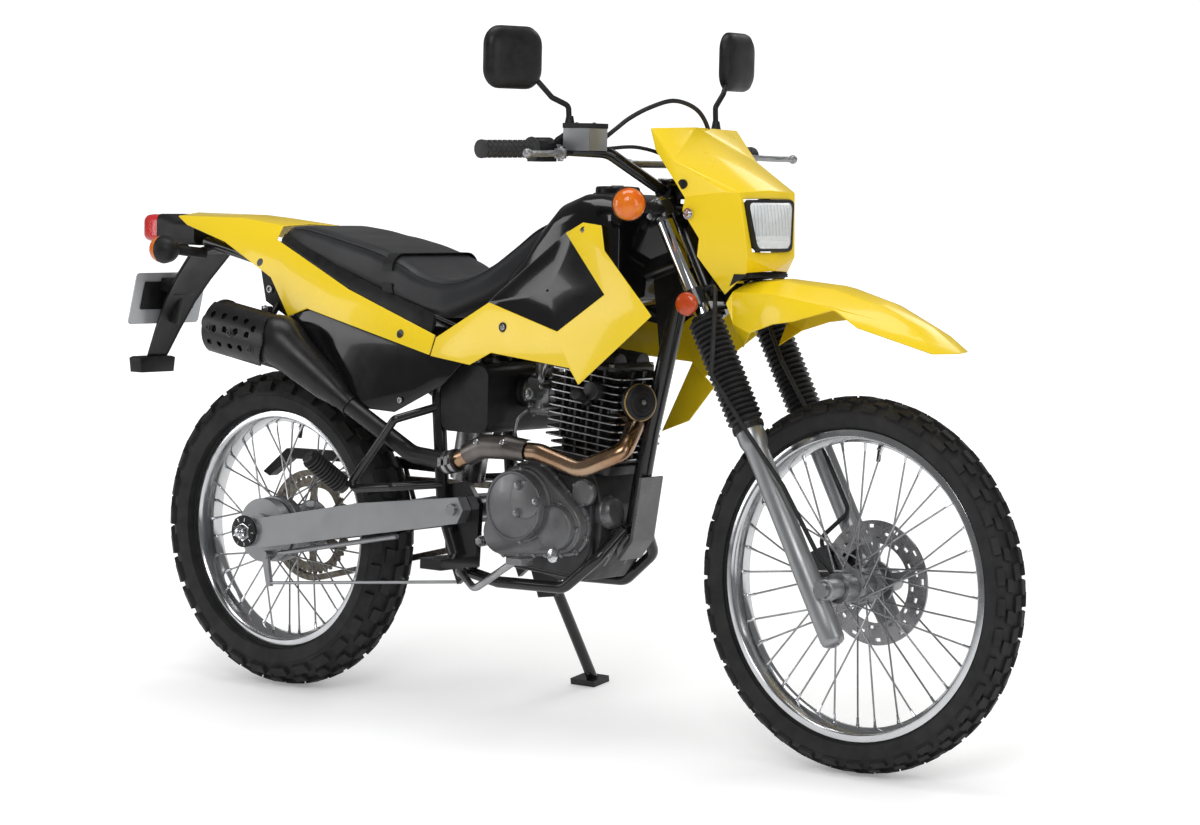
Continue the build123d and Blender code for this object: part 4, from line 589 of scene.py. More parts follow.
def holed_disc(b, centre, y_low, y_high, outer_r, inner_r, holes, columns=120):
    """Brake disc as a ring of cells; a hole is (inner r, outer r, period, open cells of each period)."""
    radii = sorted({inner_r, outer_r} | {r for hole in holes for r in hole[:2]})

    def is_open(r, i):
        return any(lo <= r < hi and i % period in cells for lo, hi, period, cells in holes)

    def wall(*corners):
        b.face([centre + radial(math.tau * i / columns, r, y) for r, i, y in corners])

    for k, (r0, r1) in enumerate(zip(radii, radii[1:])):
        for i in range(columns):
            if is_open(r0, i):
                continue
            wall((r0, i, y_high), (r1, i, y_high), (r1, i + 1, y_high), (r0, i + 1, y_high))
            wall((r0, i, y_low), (r0, i + 1, y_low), (r1, i + 1, y_low), (r1, i, y_low))
            if k == 0 or is_open(radii[k - 1], i):
                wall((r0, i, y_low), (r0, i, y_high), (r0, i + 1, y_high), (r0, i + 1, y_low))
            if k == len(radii) - 2 or is_open(r1, i):
                wall((r1, i, y_low), (r1, i + 1, y_low), (r1, i + 1, y_high), (r1, i, y_high))
            for beside, edge in ((i - 1, i), (i + 1, i + 1)):
                if is_open(r0, beside % columns):
                    wall((r0, edge, y_low), (r1, edge, y_low), (r1, edge, y_high), (r0, edge, y_high))


AXLE_BORE = 8.2


def front_wheel_extra(b):
    hub = [(-34, AXLE_BORE), (-34, 22), (-33, 24), (-31, 31), (-30, 33), (-27, 33), (-25.5, 31), (-23, 22), (-12, 20.5)]
    hub += [(12, 20.5), (23, 22), (25.5, 31), (27, 33), (31, 33), (32.5, 31), (34, 26), (44, 26), (44, 40), (50, 40)]
    b.slot = 4
    b.lathe(hub + [(50, 24), (48, 20), (48, AXLE_BORE)], FRONT_AXLE, SIDE, 48)
    b.slot = 5
    holed_disc(b, FRONT_AXLE, 45, 49, 112, 72, [(77, 83, 10, {0, 1}), (88, 94, 10, {4, 5}), (99, 105, 10, {7, 8})])
    b.slot = 4
    spider(b, FRONT_AXLE + SIDE * 44.5, 5, [(-10, 34), (10, 34), (6, 60), (7, 80), (-7, 80), (-6, 60)], 5)
    b.slot = 1
    hub_bolts(b, FRONT_AXLE, 49, 79, 5, 6, "cap")


def rear_wheel_extra(b):
    hub = [(-50, AXLE_BORE), (-50, 62), (-49, 66), (-46, 66), (-44, 64), (-40, 64), (-38, 66), (-20, 66), (-17, 63)]
    hub += [(-8, 31), (0, 29), (24, 30), (27, 44), (28, 46), (33, 46), (35, 44), (38, 38), (66, 38), (67, 52), (67, 22)]
    b.slot = 4
    b.lathe(hub + [(76, 22), (77, 20), (77, AXLE_BORE)], REAR_AXLE, SIDE, 60)
    b.slot = 6
    teeth = toothed(95.5, 100.6, 41)
    ring_plate(b, REAR_AXLE, 67.5, 72.5, teeth, scallop(len(teeth), 80, 2.5, 6, math.pi))
    spider(b, REAR_AXLE + SIDE * 68, 6, [(-13, 40), (13, 40), (8, 62), (10, 84), (-10, 84), (-8, 62)], 4)
    b.slot = 1
    hub_bolts(b, REAR_AXLE, 72, 46, 6, 6.5)


def wheels():
    """A spoke row is side, inner and outer y at the hub, hub radius and spread in degrees."""
    build_tyre("front_tyre_tread", FRONT, FRONT_AXLE, FRONT_SIZE, FRONT_LUGS, 7.0)
    build_tyre("rear_tyre_tread", REAR, REAR_AXLE, REAR_SIZE, REAR_LUGS, 9.0)
    rows = [(1, 24, 31, 30, 62), (-1, 24, 31, 30, 62)]
    rim_mesh("front_wheel_laced", FRONT, FRONT_AXLE, FRONT_SIZE, 266.5, rows, "front_wheel", front_wheel_extra)
    rows = [(1, 27, 33, 42, 46), (-1, 22, 32, 62, 36)]
    rim_mesh("rear_wheel_laced", REAR, REAR_AXLE, REAR_SIZE, 228.5, rows, "rear_wheel", rear_wheel_extra)


# ---------- Fork ----------
def leg_parts():
    """Fork sliders as turned legs, then the clamps that hold the front axle."""
    outline = [(-92, 0), (-92, 15), (-88, 20), (-80, 22), (-40, 22), (60, 22), (66, 22), (80, 21), (284, 21)]
    outline += [(292, 24), (300, 26), (322, 26), (327, 24.5), (327, 17.6), (290, 17.6), (290, 0)]
    b = Build()
    for y in (-LEG_Y, LEG_Y):
        b.slot = 0
        b.lathe(outline, steer(0, LEG_OFFSET, y), STEER_UP, 40)
        b.slot = 1
        b.bolt(steer(-92, LEG_OFFSET, y), -STEER_UP, 9, 3, "cap")
    b.done("fork_sliders_turned", STEER, ["slider", "steel"], sharp=40)
    b = Build()
    for side in SIDES:
        y = side * LEG_Y
        b.slot = 0
        b.lathe([(0, 7.6), (0, 17), (1.5, 19), (38, 19), (40, 17), (40, 7.6)], FRONT_AXLE + SIDE * side * 72,
            SIDE * side, 32)
        for up, half, back, front, rise in ((-18, 14, -31, 4, 10), (8, 14, -31, 4, 10), (-16, 9, -34, 0, 32)):
            plate = [(back, -half), (front, -half), (front, half), (back, half)]
            b.prism(plate, steer(up, AXLE_OFFSET, y), STEER_AHEAD, SIDE, STEER_UP * rise)
        b.slot = 1
        for up in (-14, 14):
            b.bolt(steer(up, AXLE_OFFSET - 2, y + side * 13.5), SIDE * side, 4.5, 3.5)
    b.done("fork_axle_clamps", STEER, ["slider", "steel"], ("fork_sliders",), bevel=1.2, sharp=40)


GAITER_LOW, GAITER_HIGH, GAITER_RIBS = 327.0, 540.0, 21


def gaiters():
    """Ribbed rubber sleeves between the sliders and the lower yoke, with their clips."""
    low, high = GAITER_LOW, GAITER_HIGH
    pitch = (high - low) / GAITER_RIBS
    b = Build()
    for y in (-LEG_Y, LEG_Y):
        outline = [(low - 6, 26.8), (low - 6, 28.5), (low + 6, 28.5), (low + 7, 27)]
        for i in range(1, GAITER_RIBS):
            d = low + i * pitch
            outline += [(d, 26.2), (d + pitch * 0.3, 31.0), (d + pitch * 0.5, 32.8), (d + pitch * 0.7, 31.0)]
        outline += [(high, 27), (high, 23), (high + 7, 22.6), (high + 7, 17.8), (high, 17.7), (low + 6, 25),
            (low + 2, 26.7)]
        b.slot = 0
        b.lathe(outline, steer(0, LEG_OFFSET, y), STEER_UP, 40)
        b.slot = 1
        for d, r in ((low - 1, 29.2), (high + 3, 23.6)):
            b.lathe([(-3, r - 1.4), (-3, r), (3, r), (3, r - 1.4)], steer(d, LEG_OFFSET, y), STEER_UP, 32)
            b.box(steer(d, LEG_OFFSET + r, y), (5, 12, 7), (STEER_AHEAD, SIDE, STEER_UP))
    b.done("fork_gaiters_ribbed", STEER, ["rubber", "plastic"], ("fork_gaiters",), sharp=50)


TUBE_TOP = 776


def fork_top():
    """Chromed tubes through the yokes, their caps and the yokes' bolts."""
    legs = [steer(0, LEG_OFFSET, y) for y in (-LEG_Y, LEG_Y)]
    b = Build()
    for leg in legs:
        b.lathe([(300, 0), (300, 17.4), (772, 17.4), (775, 16.4), (TUBE_TOP, 14), (TUBE_TOP, 0)], leg, STEER_UP, 40)
    b.done("fork_tubes_chromed", STEER, "chrome", ("fork_tubes",))
    b = Build()
    for leg in legs:
        top = leg + STEER_UP * TUBE_TOP
        b.lathe([(0, 0), (0, 12), (3, 13.5), (5, 13.5), (6, 12), (6, 0)], top, STEER_UP, 6)
        b.lathe([(0.2, 0), (0.2, 16), (2, 16), (2, 0)], top, STEER_UP, 32)
    b.lathe([(0, 0), (0, 17), (5, 17), (8, 14), (12, 14), (12, 0)], steer(770), STEER_UP, 6)
    for side in SIDES:
        for up in (574, 752):
            b.bolt(steer(up, LEG_OFFSET - 10, side * (LEG_Y + 26.5)), SIDE * side, 5, 5)
    b.done("fork_caps_and_bolts", STEER, "steel", bevel=0.6)


# ---------- Bodywork panels ----------
SKIN = 3.0
FLAT = math.radians(1.2)  # facets nearer to one plane than this are one face


def panel(name, body, points, facets, mirrored=True, bevel=2.2, replaces=(), mat="yellow"):
    """Faceted skin with softened creases; mirrored adds the other side, sharing the points on the middle."""
    b = Build()
    verts = {}
    for key, (x, y, z) in points.items():
        verts[key] = b.bm.verts.new((x, y, z))
        if mirrored:
            verts[key + "'"] = b.bm.verts.new((x, -y, z)) if y else verts[key]
    for facet in facets:
        b.skin([verts[k] for k in facet])
        if mirrored:
            b.skin([verts[k + "'"] for k in reversed(facet)])
    edges = dict(verts=b.bm.verts[:], edges=b.bm.edges[:], delimit={"MATERIAL"})
    bmesh.ops.dissolve_limit(b.bm, angle_limit=FLAT, **edges)
    b.done(name, body, mat, replaces, solid=SKIN, bevel=bevel, sharp=36, segments=3, weld=False)


def pair(name, points, facets, bevel, replaces=(), mat="yellow", inset=None):
    """The same skin on both sides, each followed by its inset; facets are those of the left side."""
    for side, label in ((1, "left"), (-1, "right")):
        corners = {k: (x, y * side, z) for k, (x, y, z) in points.items()}
        turned = facets if side > 0 else [f[::-1] for f in facets]
        panel(f"{name}_{label}", ROOT, corners, turned, False, bevel, replaces if side > 0 else (), mat)
        if inset:
            inset(side, label)


COWL = {
    "top mid": (1014, 0, 1140), "top": (1012, 128, 1136), "fold": (1062, 126, 1078), "fold low": (1163, 98, 1024),
    "brow mid": (1184, 0, 1028), "brow": (1180, 84, 1024), "back a": (1027, 134, 1096), "back b": (1094, 132, 1012),
    "back c": (1089, 132, 989), "back d": (1117, 118, 940), "back e": (1109, 112, 908), "back f": (1146, 75, 840),
    "jaw": (1192, 72, 908), "jaw mid": (1198, 0, 908), "chin": (1184, 62, 880), "chin mid": (1202, 0, 884),
    "lamp top mid": (1184, 0, 1013), "lamp top": (1181, 73, 1012), "lamp low": (1191, 56, 918),
    "lamp low mid": (1195, 0, 917),
}
COWL_FACES = [
    ("top mid", "fold", "top"), ("top mid", "brow", "fold"), ("top mid", "brow mid", "brow"),
    ("fold", "brow", "fold low"), ("top", "fold", "back a"), ("fold", "back b", "back a"),
    ("fold", "fold low", "back b"), ("fold low", "back c", "back b"), ("fold low", "back d", "back c"),
    ("fold low", "jaw", "back d"), ("fold low", "brow", "jaw"), ("jaw", "back e", "back d"), ("jaw", "chin", "back e"),
    ("chin", "back f", "back e"), ("brow mid", "lamp top", "brow"), ("brow mid", "lamp top mid", "lamp top"),
    ("brow", "lamp top", "lamp low"), ("brow", "lamp low", "jaw"), ("jaw", "lamp low", "lamp low mid"),
    ("jaw", "lamp low mid", "jaw mid"), ("jaw", "jaw mid", "chin mid"), ("jaw", "chin mid", "chin"),
]


LAMP_TOP, LAMP_LOW, LAMP_LEAN = 1010, 920, 0.115
LAMP_MID = Vector((1191.8, 0, 965))


def headlamp():
    def outline(grow, corner=12, n=5):
        """Trapezoid with rounded corners, leaning back to its top."""
        half_top, half_low, top, low = 71 + grow, 54 + grow, LAMP_TOP + grow, LAMP_LOW - grow
        points = [Vector((0, *p)) for p in ((-half_top, top), (half_top, top), (half_low, low), (-half_low, low))]
        line = []
        for before, p, after in zip(points[-1:] + points, points, points[1:] + points[:1]):
            start, end = [p + (q - p).normalized() * corner for q in (before, after)]
            for k in range(n + 1):
                s = k / n
                q = start * (1 - s) ** 2 + p * 2 * s * (1 - s) + end * s * s
                line.append(Vector((1197 - (q.z - LAMP_LOW) * LAMP_LEAN, q.y, q.z)))
        return line

    def shrunk(*rows):
        """Copies of outlines as (line, scale, push forward)."""
        return [[LAMP_MID + (p - LAMP_MID) * scale + FORWARD * push for p in line] for line, scale, push in rows]

    b = Build()
    face = outline(-4)
    dome = ((1, -1), (1, 1), (0.96, 2.6), (0.8, 4.6), (0.5, 6.4), (0.2, 7.2), (0.03, 7.3))
    b.rings(shrunk(*[(face, scale, push) for scale, push in dome]))
    b.done("headlamp_lens", STEER, "glass", sharp=40)
    b = Build()
    rim = outline(1)
    b.rings(shrunk((rim, 1, -6), (rim, 1, 1.5), (face, 1, 2.2), (face, 0.985, -6)), closed_ends=False, loop=True)
    # Reflector bowl in the lamp_bowl finish, whose faint emission is a painted glow for reflected light
    b.slot = 1
    b.rings(shrunk((face, 0.985, -3), (face, 0.9, -14), (face, 0.72, -30), (face, 0.45, -42), (face, 0.1, -46)))
    b.slot = 2
    back = ((face, 0.7, -50), (face, 0.45, -72), (face, 0.3, -92))
    b.rings(shrunk((outline(-1), 1, -5), (outline(-2), 0.94, -22), *back))
    b.rod((1108, 0, 965), (1086, 0, 965), 17, 14)
    b.slot = 3
    lean = [Vector(v).normalized() for v in ((1, 0, LAMP_LEAN), (0, 1, 0), (-LAMP_LEAN, 0, 1))]
    for i in range(11):
        b.box((1192.4, -50 + 10 * i, 974), (1.0, 7.6, 56), lean)
    b.box((1196.5, 0, 938), (2.2, 104, 1.6))
    # Bulb socket in the lamp_bowl finish, also carrying its painted glow
    b.slot = 1
    b.lathe([(0, 0), (0, 10), (14, 10), (20, 7), (22, 0)], (1150, 0, 968), FORWARD, 20)
    b.done("headlamp_bowl", STEER, ["rubber", "lamp_bowl", "plastic", "glass"], ("headlamp",), sharp=40, weld=False)
    b = Build()
    for side in SIDES:
        high, low = (1118, side * 50, 985), (1126, side * 44, 945)
        b.rod(steer(756, LEG_OFFSET + 14, side * 76), high, 5)
        b.rod(steer(580, LEG_OFFSET + 14, side * 76), low, 5)
        b.rod(high, (1092, side * 128, 1000), 4.5)
        b.rod(low, (1120, side * 108, 925), 4.5)
        b.box((1124, side * 47, 965), (10, 5, 52))
        b.rod((1086, side * 125, 1036), (1086, side * 131, 1036), 9)
    b.done("headlamp_stays", STEER, "plastic", bevel=0.5)


def cowl_trim():
    b = Build()
    for side in SIDES:
        b.slot = 0
        b.bolt((1101, side * 131.5, 984), SIDE * side, 6.5, 5, "cap")
        b.lathe([(-3, 6), (-3, 10), (0.5, 10), (0.5, 6)], (1101, side * 131, 984), SIDE * side, 24)
        b.slot = 1
        square = Vector((0.493, side * 0.848, -0.193))
        vent = [Vector((x, side * y, z)) for x, y, z in ((1164, 73, 878), (1186, 60, 878), (1155, 73, 856))]
        b.rings([[p - square * 4 for p in vent], [p + square * 1.6 for p in vent]])
    # Black block under the cowl's chin: painted shade, a dark sheet standing in for the shadow between the cowl and the
    # fender
    b.slot = 1
    b.prism([(1112, 862), (1190, 872), (1184, 882), (1112, 876)], Vector((0, -56, 0)), FORWARD, UP, SIDE * 112)
    b.done("cowl_screws_vents_and_shadow_block", STEER, ["bright", "rubber"], bevel=0.5)


FENDER = {
    "mid a": (1160, 0, 866), "mid b": (1240, 0, 872), "mid c": (1356, 0, 864), "mid d": (1453, 0, 838),
    "mid e": (1540, 0, 799), "tip": (1600, 0, 757), "top a": (1162, 32, 862), "top b": (1240, 38, 868),
    "top c": (1356, 38, 858), "top d": (1453, 32, 833), "top e": (1540, 24, 796), "rib a": (1158, 70, 846),
    "rib b": (1250, 74, 846), "rib c": (1360, 78, 832), "rib d": (1460, 66, 812), "rib e": (1552, 46, 782),
    "edge a": (1156, 84, 826), "edge b": (1172, 84, 788), "edge c": (1207, 80, 774), "edge d": (1262, 88, 793),
    "edge e": (1307, 92, 800), "edge f": (1395, 89, 826), "edge g": (1448, 95, 797), "edge h": (1581, 56, 757),
    "skirt": (1174, 54, 745),
}
FENDER_FACES = [
    ("mid a", "mid b", "top b", "top a"), ("mid b", "mid c", "top c", "top b"), ("mid c", "mid d", "top d", "top c"),
    ("mid d", "mid e", "top e", "top d"), ("mid e", "tip", "top e"), ("top a", "top b", "rib b", "rib a"),
    ("top b", "top c", "rib c", "rib b"), ("top c", "top d", "rib d", "rib c"), ("top d", "top e", "rib e", "rib d"),
    ("top e", "tip", "rib e"), ("rib a", "edge b", "edge a"), ("rib a", "rib b", "edge b"),
    ("rib b", "edge c", "edge b"), ("rib b", "edge d", "edge c"), ("rib b", "edge e", "edge d"),
    ("rib b", "rib c", "edge e"), ("rib c", "edge f", "edge e"), ("rib c", "rib d", "edge f"),
    ("rib d", "edge g", "edge f"), ("rib d", "rib e", "edge g"), ("rib e", "edge h", "edge g"),
    ("rib e", "tip", "edge h"), ("edge b", "edge c", "skirt"),
]


def fender_fixings():
    b = Build()
    b.prism([(1100, 820), (1205, 824), (1225, 862), (1110, 858)], SIDE * -28, FORWARD, UP, SIDE * 56)
    b.slot = 1
    for x in (1180, 1222):
        for y in (20, -20):
            b.bolt((x, y, 820), -UP, 6, 5)
    b.done("fender_mount", STEER, ["plastic", "steel"], bevel=2.0)


SHROUD = {
    "ear back": (819, 131, 941), "ear top": (862, 134, 962), "ear front": (910, 140, 958), "brow": (938, 165, 913),
    "tip": (1081, 205, 802), "low front": (905, 190, 669), "low back": (878, 184, 697), "belly": (661, 152, 713),
    "heel": (604, 147, 687), "toe": (497, 138, 698), "notch": (511, 138, 734), "edge": (640, 136, 806),
    "crease": (842, 178, 762), "corner": (951, 178, 834),
}
SHROUD_TOP = (664, 136, 826)  # upper back corner of the black insert
SHROUD_FACES = [
    ("ear back", "ear top", "brow"), ("ear top", "ear front", "brow"), ("ear back", "brow", "corner"),
    ("brow", "tip", "corner"), ("corner", "tip", "crease"), ("tip", "low front", "crease"),
    ("low front", "low back", "crease"), ("low back", "belly", "crease"), ("crease", "belly", "edge"),
    ("belly", "heel", "edge"), ("heel", "notch", "edge"), ("heel", "toe", "notch"),
]


def shroud_insert(side, label):
    """Recessed black panel inside the shroud's opening, hollowed toward its middle."""
    ring = [Vector(SHROUD[n]) for n in ("ear back", "corner", "crease", "edge")] + [Vector(SHROUD_TOP)]
    middle = sum(ring, Vector()) / 5
    b = Build()
    rows = []
    for scale, depth in ((1.045, 5), (1, 5.5), (0.9, 7.5), (0.7, 11), (0.45, 13.5), (0.2, 14.5), (0.03, 14.6)):
        line = []
        for p, q in zip(ring, ring[1:] + ring[:1]):
            for s in range(6):
                r = middle + (p.lerp(q, s / 6) - middle) * scale - SIDE * depth
                line.append((r.x, r.y * side, r.z))
        rows.append(line)
    b.rings(rows, closed_ends=False)
    b.done(f"shroud_insert_{label}", ROOT, "gloss", solid=1.5, sharp=75, weld=False)


def shrouds():
    pair("shroud", SHROUD, [f[::-1] for f in SHROUD_FACES], 2.6, inset=shroud_insert)
    wing = {
        "a": (905, 190, 669), "b": (878, 184, 697), "c": (926, 192, 652), "d": (872, 186, 584), "e": (812, 178, 560),
    }
    panel("shroud_wing", ROOT, wing, [("b", "a", "c"), ("b", "c", "d"), ("b", "d", "e")], False,
        replaces=("tank_shrouds",))
    b = Build()
    for side in SIDES:
        for x, y, z in ((868, 137.0, 945), (690, 152, 762)):
            b.slot = 1
            b.lathe([(0, 0), (0, 9.5), (1.2, 9), (1.4, 7), (1.4, 0)], (x, side * y, z), SIDE * side, 24)
            b.slot = 0
            b.bolt((x, side * (y + 0.6), z), SIDE * side, 6, 3.6, "dome")
    b.done("shroud_screws", ROOT, ["steel", "rubber"], bevel=0.3)


# ---------- Tank, seat, tail ----------
TANK = [
    (618, 796, 832, 82, 16), (650, 797, 862, 96, 24), (700, 800, 905, 107, 34), (740, 800, 952, 114, 38),
    (780, 801, 992, 118, 42), (830, 802, 1011, 119, 44), (872, 805, 1010, 114, 44), (900, 812, 1000, 105, 42),
    (916, 822, 980, 92, 38),
]


def section(x, low, high, half, corner, n=8, crown=0.0):
    """Upright rounded section as a closed ring, its top crowned."""
    corner = min(corner, half * 0.95, (high - low) / 2 * 0.95)
    ring = []
    for i, (y, z) in enumerate(round_rect(half, (high - low) / 2, corner, n)):
        lift = crown * (1 - (y / half) ** 2) if i < 2 * (n + 1) else 0
        ring.append(Vector((x, y, (high + low) / 2 + z + lift)))
    return ring


def tank():
    b = Build()
    b.rings([section(*row, crown=4) for row in TANK])
    b.done("tank_shell", ROOT, "gloss", ("fuel_tank",), bevel=4, sharp=40)
    b = Build()
    at = Vector((834, 0, 1010))
    b.lathe([(0, 0), (0, 46), (3, 46), (5, 43), (5, 0)], at, UP, 48)
    lobes = []
    for a in angles(96):
        r = 39.5 + 2.6 * math.tanh(3 * math.cos(9 * a))
        lobes.append(Vector((r * math.cos(a), r * math.sin(a), 0)))
    b.rings([[at + p * scale + UP * z for p in lobes] for scale, z in ((1, 4), (1, 14), (0.93, 17), (0.6, 18))])
    b.slot = 1
    b.lathe([(17, 0), (17, 12), (19.5, 12), (19.5, 0)], at, UP, 24)
    b.done("tank_cap", ROOT, ["plastic", "steel"], sharp=40)


SEAT = [
    (54, 906, 926, 74, 9), (80, 896, 931, 86, 16), (120, 880, 933, 97, 22), (180, 861, 926, 107, 26),
    (250, 839, 914, 117, 28), (320, 817, 900, 121, 29), (372, 801, 885, 123, 30), (408, 791, 872, 124, 29),
    (436, 784, 858, 124, 28), (468, 775, 848, 124, 27), (512, 768, 842, 123, 28), (560, 786, 851, 116, 29),
    (610, 804, 874, 108, 30), (660, 832, 912, 95, 30), (706, 866, 950, 82, 30), (740, 900, 964, 68, 24),
    (762, 926, 968, 56, 17),
]


SEAMS = (228.0, 410.0)
SEAM_HALF, SEAM_DEPTH = 9, 2.2
STRAP_X, STRAP_HALF = 372, 13


def seat():
    b = Build()
    rings = []
    for a, c in zip(SEAT, SEAT[1:]):
        for t in (0, 1 / 3, 2 / 3):
            rings.append(section(*[p + (q - p) * t for p, q in zip(a, c)], n=10, crown=3))
    b.rings(rings + [section(*SEAT[-1], n=10, crown=3)])
    for face in b.bm.faces:
        face.material_index = 1 if face.normal.z > 0.75 else 0
    for vert in b.bm.verts:
        for seam in SEAMS:
            gap = abs(vert.co.x - seam)
            if gap < SEAM_HALF and vert.co.z > 800:
                vert.co.z -= SEAM_DEPTH * (1 - gap / SEAM_HALF)
    b.done("seat_cushion", ROOT, ["vinyl", "vinyl_top"], ("seat",), subdiv=1, sharp=60)
    b = Build()
    for side in SIDES:
        line = [(x, side * (half - corner * 0.28), high - corner * 0.25) for x, _, high, half, corner in SEAT[1:-1]]
        b.tube(curve_through(line, 5), 1.6, 6)
    over = [p for p in section(STRAP_X, 800, 886.5, 124.5, 31, n=10, crown=3) if p.z > 812]
    over.sort(key=lambda p: math.atan2(p.z - 840, p.y))
    strap = []
    for p in over:
        out = (p - Vector((STRAP_X, 0, 845))).normalized()
        edges = ((-1, 0.2), (-1, 2.6), (1, 2.6), (1, 0.2))
        strap.append([p + FORWARD * STRAP_HALF * way + out * lift for way, lift in edges])
    b.slot = 1
    b.rings(strap)
    b.done("seat_piping_and_strap", ROOT, ["vinyl", "rubber"], sharp=50)


# x, then y and z of its inner and outer upper edge
SEAT_PAN = [
    (60, 74, 915, 99, 903), (120, 92, 892, 109, 877), (180, 103, 870, 117, 852), (275, 115, 836, 127, 814),
    (385, 121, 802, 132, 777), (440, 122, 786, 133, 758), (494, 122, 770, 134, 741),
]


def seat_base():
    """Plastic pan that closes the room between the cushion and the covers' upper edges."""
    b = Build()
    for side in SIDES:
        rings = []
        for x, y_in, z_in, y_out, z_out in SEAT_PAN:
            corners = ((y_in - 6, z_in - 10), (y_in + 1, z_in + 8), (y_out - 2, z_out + 3), (y_out - 2, z_out - 8))
            rings.append([(x, side * y, z) for y, z in corners])
        b.rings(rings)
    b.box((66, 0, 902), (36, 156, 26))
    b.done("seat_base", ROOT, "plastic", bevel=1.0, weld=False)


TAIL = {
    "tip": (-274, 58, 943), "tip mid": (-276, 0, 950), "top a": (-76, 70, 944), "top a mid": (-76, 0, 950),
    "top b": (50, 82, 932), "top b mid": (44, 0, 936), "rim": (50, 100, 905), "rim b": (275, 129, 815),
    "rim c": (508, 137, 738), "low a": (497, 141, 700), "low b": (179, 145, 774), "low c": (125, 142, 756),
    "low d": (60, 126, 830), "low e": (-93, 104, 896), "low f": (-235, 72, 926),
}
TAIL_FACES = [
    ("tip mid", "top a mid", "top a"), ("tip mid", "top a", "tip"), ("top a mid", "top b mid", "top b"),
    ("top a mid", "top b", "top a"), ("tip", "top a", "low f"), ("top a", "low e", "low f"),
    ("top a", "top b", "low e"), ("top b", "rim", "low e"), ("rim", "low d", "low e"), ("rim", "low c", "low d"),
    ("rim", "low b", "low c"), ("rim", "rim b", "low b"), ("rim b", "low a", "low b"), ("rim b", "rim c", "low a"),
]
COVER = {
    "a": (128, 141, 755), "b": (176, 139, 780), "c": (478, 135, 710), "g": (577, 134, 690), "h": (532, 139, 645),
    "e": (416, 147, 586), "f": (296, 147, 590), "fold a": (160, 145, 732), "fold b": (500, 143, 668),
}
COVER_FACES = [
    ("a", "b", "fold a"), ("b", "c", "fold b", "fold a"), ("c", "g", "fold b"), ("g", "h", "fold b"),
    ("fold b", "h", "e"), ("fold a", "fold b", "e", "f"), ("a", "fold a", "f"),
]


def tail_trim():
    b = Build()
    for side in SIDES:
        b.slot = 0
        for at, r in (((46, side * 111.5, 806), 8), ((432, side * 147.5, 610), 6)):
            b.bolt(at, SIDE * side, r, r * 0.55, "cap")
        b.slot = 1
        bracket = [(18, 850), (62, 832), (104, 780), (96, 752), (34, 782)]
        b.prism(bracket, SIDE * side * 100, FORWARD, UP, SIDE * side * 12)
    b.done("cover_screws", ROOT, ["steel", "plastic"], bevel=1.2)


# x, z, half width and thickness of the flap
FLAP = [
    (-80, 890, 62, 12), (-160, 886, 58, 13), (-240, 868, 56, 14), (-290, 815, 50, 13), (-330, 765, 44, 12),
    (-365, 705, 36, 10), (-392, 655, 30, 8), (-400, 640, 28, 6),
]
LAMP_Z, LAMP_HALF_Z, LAMP_HALF_Y = 915, 29, 41
PLATE_FOOT, PLATE_TILT = Vector((-377, 0, 716)), math.radians(14)
PLATE_HALF_Y, PLATE_HALF_Z = 100, 55


def tail_lamp():
    b = Build()
    ring = section(0, LAMP_Z - LAMP_HALF_Z, LAMP_Z + LAMP_HALF_Z, LAMP_HALF_Y, 14, n=6)
    rows = ((-338, 1.0), (-350, 1.0), (-380, 0.98), (-394, 0.92), (-401, 0.82), (-404, 0.6), (-404.6, 0.2))
    b.rings([[Vector((x, p.y * scale, LAMP_Z + (p.z - LAMP_Z) * scale)) for p in ring] for x, scale in rows])
    for i in range(7):
        b.box((-403.5, 0, 897 + i * 6), (1.6, 62 - abs(i - 3) * 4, 1.2))
    b.done("tail_lamp_lens", ROOT, "red", ("tail_lamp",), sharp=45, weld=False)
    b = Build()
    rows = ((-352, 3.5, 1.05), (-336, 4.5, 1.35), (-300, 5, -10), (-240, 5, -10))  # x, growth all round, growth on top
    low, high = LAMP_Z - LAMP_HALF_Z, LAMP_Z + LAMP_HALF_Z
    b.rings([section(x, low - grow * 0.6, high + top, LAMP_HALF_Y + grow, 14, n=6) for x, grow, top in rows])
    b.done("tail_lamp_housing", ROOT, "plastic", sharp=45)


def mudguard():
    b = Build()
    rows = []
    for i, (x, z, half, thick) in enumerate(FLAP):
        a, c = FLAP[max(i - 1, 0)], FLAP[min(i + 1, len(FLAP) - 1)]
        run = Vector((c[0] - a[0], 0, c[1] - a[1])).normalized()
        out = Vector((run.z, 0, -run.x))
        low, high, under = -thick * 0.5, thick * 0.5, 2 - thick * 0.5
        edge = ((half, low), (half - 7, high), (7 - half, high), (-half, low), (5 - half, under), (half - 5, under))
        rows.append([Vector((x, 0, z)) + SIDE * y + out * d for y, d in edge])
    b.rings(rows)
    b.prism([(-46, 0), (46, 0), (50, 30), (40, 33), (-40, 33), (-50, 30)], (-424, 0, 613), SIDE, UP, FORWARD * 34)
    b.slot = 1
    b.bolt((-424, 0, 629), -FORWARD, 8, 6)
    b.slot = 2
    for y in (-36, 16):
        b.prism([(y, 4), (y + 20, 4), (y + 20, 24), (y, 24)], (-425.5, 0, 613), SIDE, UP, -FORWARD * 3)
    b.done("mudguard_flap", ROOT, ["plastic", "steel", "red"], ("rear_mudguard",), bevel=1.6, sharp=40)


